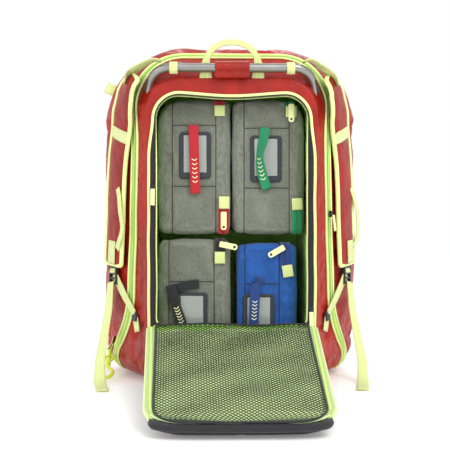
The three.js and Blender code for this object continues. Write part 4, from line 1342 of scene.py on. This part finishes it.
for side_name, sign in (("left", -1), ("right", 1)):
    strap_body, tail_body = f"strap_{side_name}", f"strap_tail_{side_name}"
    route = smooth_path([beside_pack(sign, d, z, STRAP_OFF + lift) for d, z, lift in ROUTE], 80)
    widths = [slope_normal(sign, p.y - face_y).cross(Vector((0, 0, 1))) for p in route]

    def strap_frame(share, route=route, widths=widths, sign=sign):
        """Middle of the strap, its width direction and the way out from the pack."""
        centre, forward = along_path(route, share)
        across = along_path(widths, share)[0]
        across = (across - forward * across.dot(forward)).normalized()
        up = forward.cross(across)
        return centre, across, up if up.x * sign > 0 else -up

    def strap_surface(inner):
        def place(u, v):
            centre, across, up = strap_frame(v)
            half = STRAP_HALF * (0.80 + 0.20 * end_rounding(v))
            w = 2 * u - 1
            belly = (1 - abs(w) ** 3.0) * STRAP_BELLY
            belly *= 0.55 + 0.45 * end_rounding(v)
            puff = 0.0009 * noise.noise(Vector((v * 13, w * 1.3, 2 if inner else 5)))
            crease = 0.0008 * abs(noise.noise(Vector((v * 34, w * 2, 8))))
            height = belly + puff * (1 - abs(w) ** 4) - crease
            return centre + across * (w * half) + up * (-height if inner else height)
        return place

    outer = drawn_sheet(f"strap_face_{side_name}", strap_surface(False), 22, 150, size=(0.064, 0.36))
    thicken(outer, 0.0014, offset=0.0)
    dress(outer, strap_red_painted_shade, strap_body, "coated_red", f"shoulder_pad_{side_name}")
    inner = drawn_sheet(f"strap_back_{side_name}", strap_surface(True), 22, 150, size=(0.064, 0.36))
    thicken(inner, 0.0014, offset=0.0)
    dress(inner, black_mesh, strap_body, "black_padding")
    rim_points = []
    for way in (1, -1):
        for i in range(61):
            share = i / 60 if way > 0 else 1 - i / 60
            centre, across, _ = strap_frame(share)
            rim_points.append(centre + across * way * 0.0308 * (0.80 + 0.20 * end_rounding(share)))
    rim_points.append(rim_points[0])
    bound = smooth_path(rim_points, 320)
    rim = round_cord(f"strap_binding_{side_name}", bound, 0.0041)
    dress(rim, hi_vis_cord, strap_body, "hi_vis_webbing")

    def on_face(share, across_share, lift):
        centre, across, up = strap_frame(share)
        height = STRAP_BELLY * (1 - abs(across_share) ** 3) + lift
        return centre + across * STRAP_HALF * across_share + up * height

    yoke_points = [on_face(0.06, 0.1, 0.0012), on_face(0.0, 0.2, 0.002),
                   Vector((sign * 0.141, bar_y + 0.004, bar_z + 0.013)),
                   Vector((sign * 0.124, bar_y, bar_z + 0.0115))]
    strip(f"strap_yoke_{side_name}", smooth_path(yoke_points, 30),
          [(0, -1, 0.3), (sign * 0.2, -1, 0.2), (0, -1, 0.1), (0, -1, 0)], 0.024, 0.0018,
          body=strap_body)
    band_share = 0.315
    patch_line = smooth_path([on_face(band_share, s, 0.0016) for s in (-1.0, -0.6, -0.2, 0.2, 0.6, 1.0)], 24)
    strip(f"strap_patch_{side_name}", patch_line, (0, 0, 1), 0.021, 0.0013, body=strap_body,
          material=patch_cloth)
    loop_points = [on_face(0.60, -0.55, 0.0016), on_face(0.64, -0.80, 0.004), on_face(0.72, -1.15, 0.012),
                   on_face(0.80, -1.35, 0.015), on_face(0.87, -1.1, 0.010), on_face(0.915, -0.7, 0.0016)]
    loop_line = smooth_path(loop_points, 50)
    strip(f"strap_loop_{side_name}", loop_line, slope_normal(sign, 0.085).cross(Vector((0, 0, 1))),
          0.0125, 0.0013, body=strap_body, along=56)
    heel_line = smooth_path([on_face(s, -0.12, 0.0018) for s in (0.875, 0.92, 0.96, 0.995)], 24)
    strip(f"strap_heel_patch_{side_name}", heel_line, widths[-1], 0.026, 0.0013, body=strap_body,
          material=patch_cloth)

    lock_centre = middle_of(f"ladder_lock_{side_name}")
    lock_across = widths[-1].normalized()
    lock_out = slope_normal(sign, 0.092)
    bm = bmesh.new()
    turn = upright(lock_across, Vector((0, 0, 1)), lock_out)
    bars = [((0.0125, 0, 0), (0.0045, 0.034, 0.0058)), ((-0.0125, 0, 0), (0.0045, 0.034, 0.0058)),
            ((0, 0.0145, 0), (0.026, 0.0046, 0.0060)), ((0, 0.0035, 0.0006), (0.026, 0.0048, 0.0048)),
            ((0, -0.0060, -0.0004), (0.026, 0.0040, 0.0046)),
            ((0, -0.0148, 0.0008), (0.028, 0.0050, 0.0060))]
    for where, size in bars:
        add_block(bm, lock_centre, turn, where, size)
    lock = piece_from(f"ladder_buckle_{side_name}", bm, smooth=True)
    round_edges(lock, 0.0012, 3).harden_normals = True
    dress(lock, black_plastic, strap_body, "black_plastic", f"ladder_lock_{side_name}")
    keeper_line = smooth_path([on_face(0.985, 0, -0.004), lock_centre + Vector((0, 0, 0.016)),
                               lock_centre + Vector((0, 0, 0.004)) + lock_out * 0.0034], 12)
    strip(f"strap_end_{side_name}", keeper_line, lock_across, 0.020, 0.0016, body=strap_body)

    start = lock_centre + Vector((0, 0, 0.002)) - lock_out * 0.0012
    anchor_middle = middle_of(f"strap_anchor_{side_name}")
    anchor_out = slope_normal(sign, 0.034)
    finish_point = anchor_middle + Vector((0, 0, 0.004)) + anchor_out * 0.0022
    run = smooth_path([start, start.lerp(finish_point, 0.25) + lock_out * 0.001,
                       start.lerp(finish_point, 0.6) + lock_out * 0.0015, finish_point], 40)
    run_sides = smooth_path([lock_across, lock_across.lerp(anchor_out.cross(Vector((0, 0, 1))), 0.5),
                             anchor_out.cross(Vector((0, 0, 1)))], 40)
    strip(f"adjuster_{side_name}", run, run_sides, 0.020, 0.0017, body=strap_body,
          nodes_for=(f"adjuster_webbing_{side_name}",))
    anchor_across = anchor_out.cross(Vector((0, 0, 1)))
    anchor_line = [anchor_middle + anchor_out * 0.0008 + Vector((0, 0, 0.0085 - 0.017 * i / 8))
                   for i in range(9)]
    strip(f"anchor_patch_{side_name}", anchor_line, anchor_across, 0.018, 0.0042, body="pack",
          material=black_tape, slot_name="black_tape", nodes_for=(f"strap_anchor_{side_name}",))
    under = smooth_path([anchor_middle + Vector((0, 0, -0.004)), beside_pack(sign, 0.030, 0.100, 0.0022),
                         beside_pack(sign, 0.028, 0.090, 0.0016)], 12)
    strip(f"anchor_webbing_{side_name}", under, anchor_across, 0.020, 0.0014, body="pack")

    top = beside_pack(sign, 0.092, 0.175, STRAP_OFF + 0.006)
    tail_points = [top, top + Vector((sign * 0.003, -0.014, -0.050)),
                   top + Vector((sign * 0.009, -0.034, -0.100)),
                   Vector((top.x + sign * 0.013, top.y - 0.052, 0.040)),
                   Vector((top.x + sign * 0.012, top.y - 0.068, 0.014)),
                   Vector((top.x + sign * 0.008, top.y - 0.092, 0.0032)),
                   Vector((top.x - sign * 0.002, top.y - 0.148, 0.0026))]
    tail_sides = [(sign, lean, 0) for lean in (1.4, 1.0, 0.6, 0.25, 0.1, 0.1, 0.1)]
    tail_line = smooth_path(tail_points, 90)
    strip(f"tail_{side_name}", tail_line, smooth_path(tail_sides, 90), 0.0205, 0.0015, body=tail_body,
          nodes_for=(f"strap_tail_{side_name}",), ripple=0.0006)
    hem_line = [tail_line[-7 + i] + Vector((0, 0, 0.0012)) for i in range(7)]
    strip(f"tail_hem_{side_name}", hem_line, (sign, 0.1, 0), 0.0205, 0.0016, body=tail_body, along=8)

# ---- Ring and hook -------------------------------------------------------------------------
# A yellow ring hangs from a webbing tab at the lower left, with a yellow snap hook through it.

ring_centre = middle_of("gear_ring")
yellow_plastic = Finish("yellow_plastic", (0.66, 0.76, 0.06), 0.36).material
ring_turn = [ring_centre + Vector((0, 0.011 * math.cos(a), 0.011 * math.sin(a)))
             for a in [math.tau * i / 64 for i in range(64)]]
ring = round_cord("ring", ring_turn, 0.0024, cyclic=True, sides=5)
dress(ring, yellow_plastic, "gear_ring", "yellow_plastic", "gear_ring")
HOOK_LEAN = 1.08
hook_down = Vector((0, -math.sin(HOOK_LEAN), -math.cos(HOOK_LEAN)))
hook_eye = ring_centre + hook_down * 0.013
hook_points = [(0.0, 0.008), (0.0, 0.022), (0.003, 0.030), (0.009, 0.038), (0.010, 0.046), (0.006, 0.054),
               (-0.003, 0.059)]
hook_line = smooth_path([hook_eye + Vector((a, 0, 0)) + hook_down * b for a, b in hook_points], 60)
hook = round_cord("hook", hook_line, 0.0033, sides=5)
dress(hook, yellow_plastic, "gear_hook", "yellow_plastic", "gear_hook")
eye_turn = [hook_eye + Vector((0.0074 * math.cos(a), 0, 0)) + hook_down * 0.0074 * math.sin(a)
            for a in [math.tau * i / 48 for i in range(48)]]
eye = round_cord("hook_eye", eye_turn, 0.0024, cyclic=True, sides=5)
dress(eye, yellow_plastic, "gear_hook", "yellow_plastic")
collar = round_cord("hook_collar", [hook_eye + hook_down * b for b in (0.010, 0.013, 0.016, 0.019)],
                    0.0048, sides=5)
dress(collar, yellow_plastic, "gear_hook", "yellow_plastic")
gate = round_cord("hook_gate", smooth_path([hook_eye + hook_down * 0.024 + Vector((-0.0045, 0, 0)),
                  hook_eye + hook_down * 0.040 + Vector((-0.0062, 0, 0)),
                  hook_eye + hook_down * 0.0575 + Vector((-0.0040, 0, 0))], 20), 0.0014)
dress(gate, yellow_plastic, "gear_hook", "yellow_plastic")
tab_top = Vector((-skin_x(0.113, 0.072), face_y + 0.114, 0.072))
tab_middle = tab_top.lerp(ring_centre, 0.5)
tab_points = [tab_top + Vector((-0.001, 0, 0)), tab_middle + Vector((-0.001, 0, 0.004)),
              ring_centre + Vector((-0.0036, 0, 0.0112)), ring_centre + Vector((0, 0, 0.0078)),
              ring_centre + Vector((0.0036, 0, 0.0112)), tab_middle + Vector((0.003, 0, 0.004))]
strip("ring_tab", smooth_path(tab_points, 44), (0, 1, 0), 0.019, 0.0014, body="pack")

# ---- Zipper sliders and rear pocket --------------------------------------------------------
# The main zipper's two sliders wait on the rim; the expansion zipper and the rear pocket have
# one each. The rear pocket is a flat box pocket with a zipper and a reflective strip.

slider_metal = Finish("slider_metal", (0.035, 0.035, 0.038), 0.34, 0.6).material
zip_slider("main_slider_l", "main_slider_left", "main_slider_left", slider_metal, "slider_metal")
zip_slider("main_slider_r", "main_slider_right", "main_slider_right", slider_metal, "slider_metal")
zip_slider("side_slider", "expansion_slider", "expansion_slider", slider_metal, "slider_metal",
           facing=slope_normal(1, 0.040), along=(0, 0, 1))
zip_slider("pocket_slider", "rear_slider", "rear_slider", slider_metal, "slider_metal",
           facing=(0, 1, 0), along=(1, 0, 0))
for name, node_name, body_name, out in (
        ("main_pull_left", "main_slider_left", "main_slider_left", Vector((0, -1, 0))),
        ("main_pull_right", "main_slider_right", "main_slider_right", Vector((0, -1, 0))),
        ("side_pull", "expansion_slider", "expansion_slider", slope_normal(1, 0.040)),
        ("pocket_pull", "rear_slider", "rear_slider", Vector((0, 1, 0)))):
    centre = middle_of(node_name)
    across = out.cross(Vector((0, 0, 1))).normalized()
    pull_line = [centre + out * (0.0048 + 0.0004 * i) - Vector((0, 0, 0.002 + 0.0036 * i)) for i in range(9)]
    strip(name, pull_line, across, 0.0075, 0.0020, across=4, along=14, body=body_name,
          material=yellow_rubber)

pocket_low, pocket_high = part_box("rear_pocket")
rear_pocket = remeshed_copy("rear_pocket_cloth", "rear_pocket", 0.006, 3)


def pocket_held(co):
    return max(0.0, 1 - (co.y - pocket_low.y) / 0.010)


inflate(rear_pocket, 1.6, 12, 0.0045, pin=pocket_held, slack=0.02, bend=0.3)
for vert in rear_pocket.data.vertices:
    swell = noise.noise(vert.co * 11) + 0.5 * abs(noise.noise(vert.co * 30))
    vert.co += vert.normal * (1 - pocket_held(vert.co)) * (0.0022 * swell - 0.0014)
rear_pocket.modifiers.new("soft", "SUBSURF").levels = 1
dress(rear_pocket, coated_red, "pack", "coated_red", "rear_pocket")
pocket_surface = surface_of(rear_pocket)
pocket_zip_z = middle_of("rear_pocket_zip").z


def across_pocket(z, half, lift):
    points = [Vector((half * (i / 20 - 1), pocket_high.y + 0.01, z)) for i in range(41)]
    return laid_path(points, pocket_surface, lift)


strip("pocket_zip_tape", across_pocket(pocket_zip_z, 0.112, 0.0012), (0, 0, 1), 0.018, 0.0013,
      material=lime_webbing, nodes_for=("rear_pocket_zip",))
teeth("pocket_coil", across_pocket(pocket_zip_z, 0.110, 0.0026), (0, 1, 0), (0.0048, 0.0018, 0.0016),
      0.0028, hi_vis_coil, "pack", "hi_vis_webbing")
silver = webbing_cloth("reflective_tape", (0.56, 0.58, 0.60), ribs=1200.0, cords=900.0, depth=0.0002)
strip("pocket_reflector", across_pocket(0.240, 0.118, 0.0012), (0, 0, 1), 0.050, 0.0010,
      material=silver, across=10)
for label, height in (("upper", 0.2695), ("lower", 0.2105)):
    strip(f"pocket_band_{label}", across_pocket(height, 0.118, 0.0014), (0, 0, 1), 0.010, 0.0014)
pocket_edge = []
for i in range(120):
    x, z = rounded_ring(i / 120, 0.1505, pocket_low.z, pocket_high.z, 0.040, 0.030)
    pocket_edge.append(Vector((x, pocket_low.y + 0.0022, z)))
seam_cord = round_cord("pocket_piping", pocket_edge, 0.0022, cyclic=True)
dress(seam_cord, hi_vis_cord, "pack", "hi_vis_webbing")
hang_side = Vector((-skin_x(0.150, 0.535), face_y + 0.150, 0.535))
hang_points = [hang_side + Vector(step) for step in (
    (0.004, -0.002, -0.002), (-0.008, -0.004, 0.003), (-0.018, -0.002, 0.008), (-0.020, 0.002, 0.009),
    (-0.010, 0.004, 0.004), (0.004, 0.003, -0.002))]
strip("hanging_loop", smooth_path(hang_points, 30), (0.42, 0, 0.9), 0.020, 0.0014)

low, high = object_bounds()
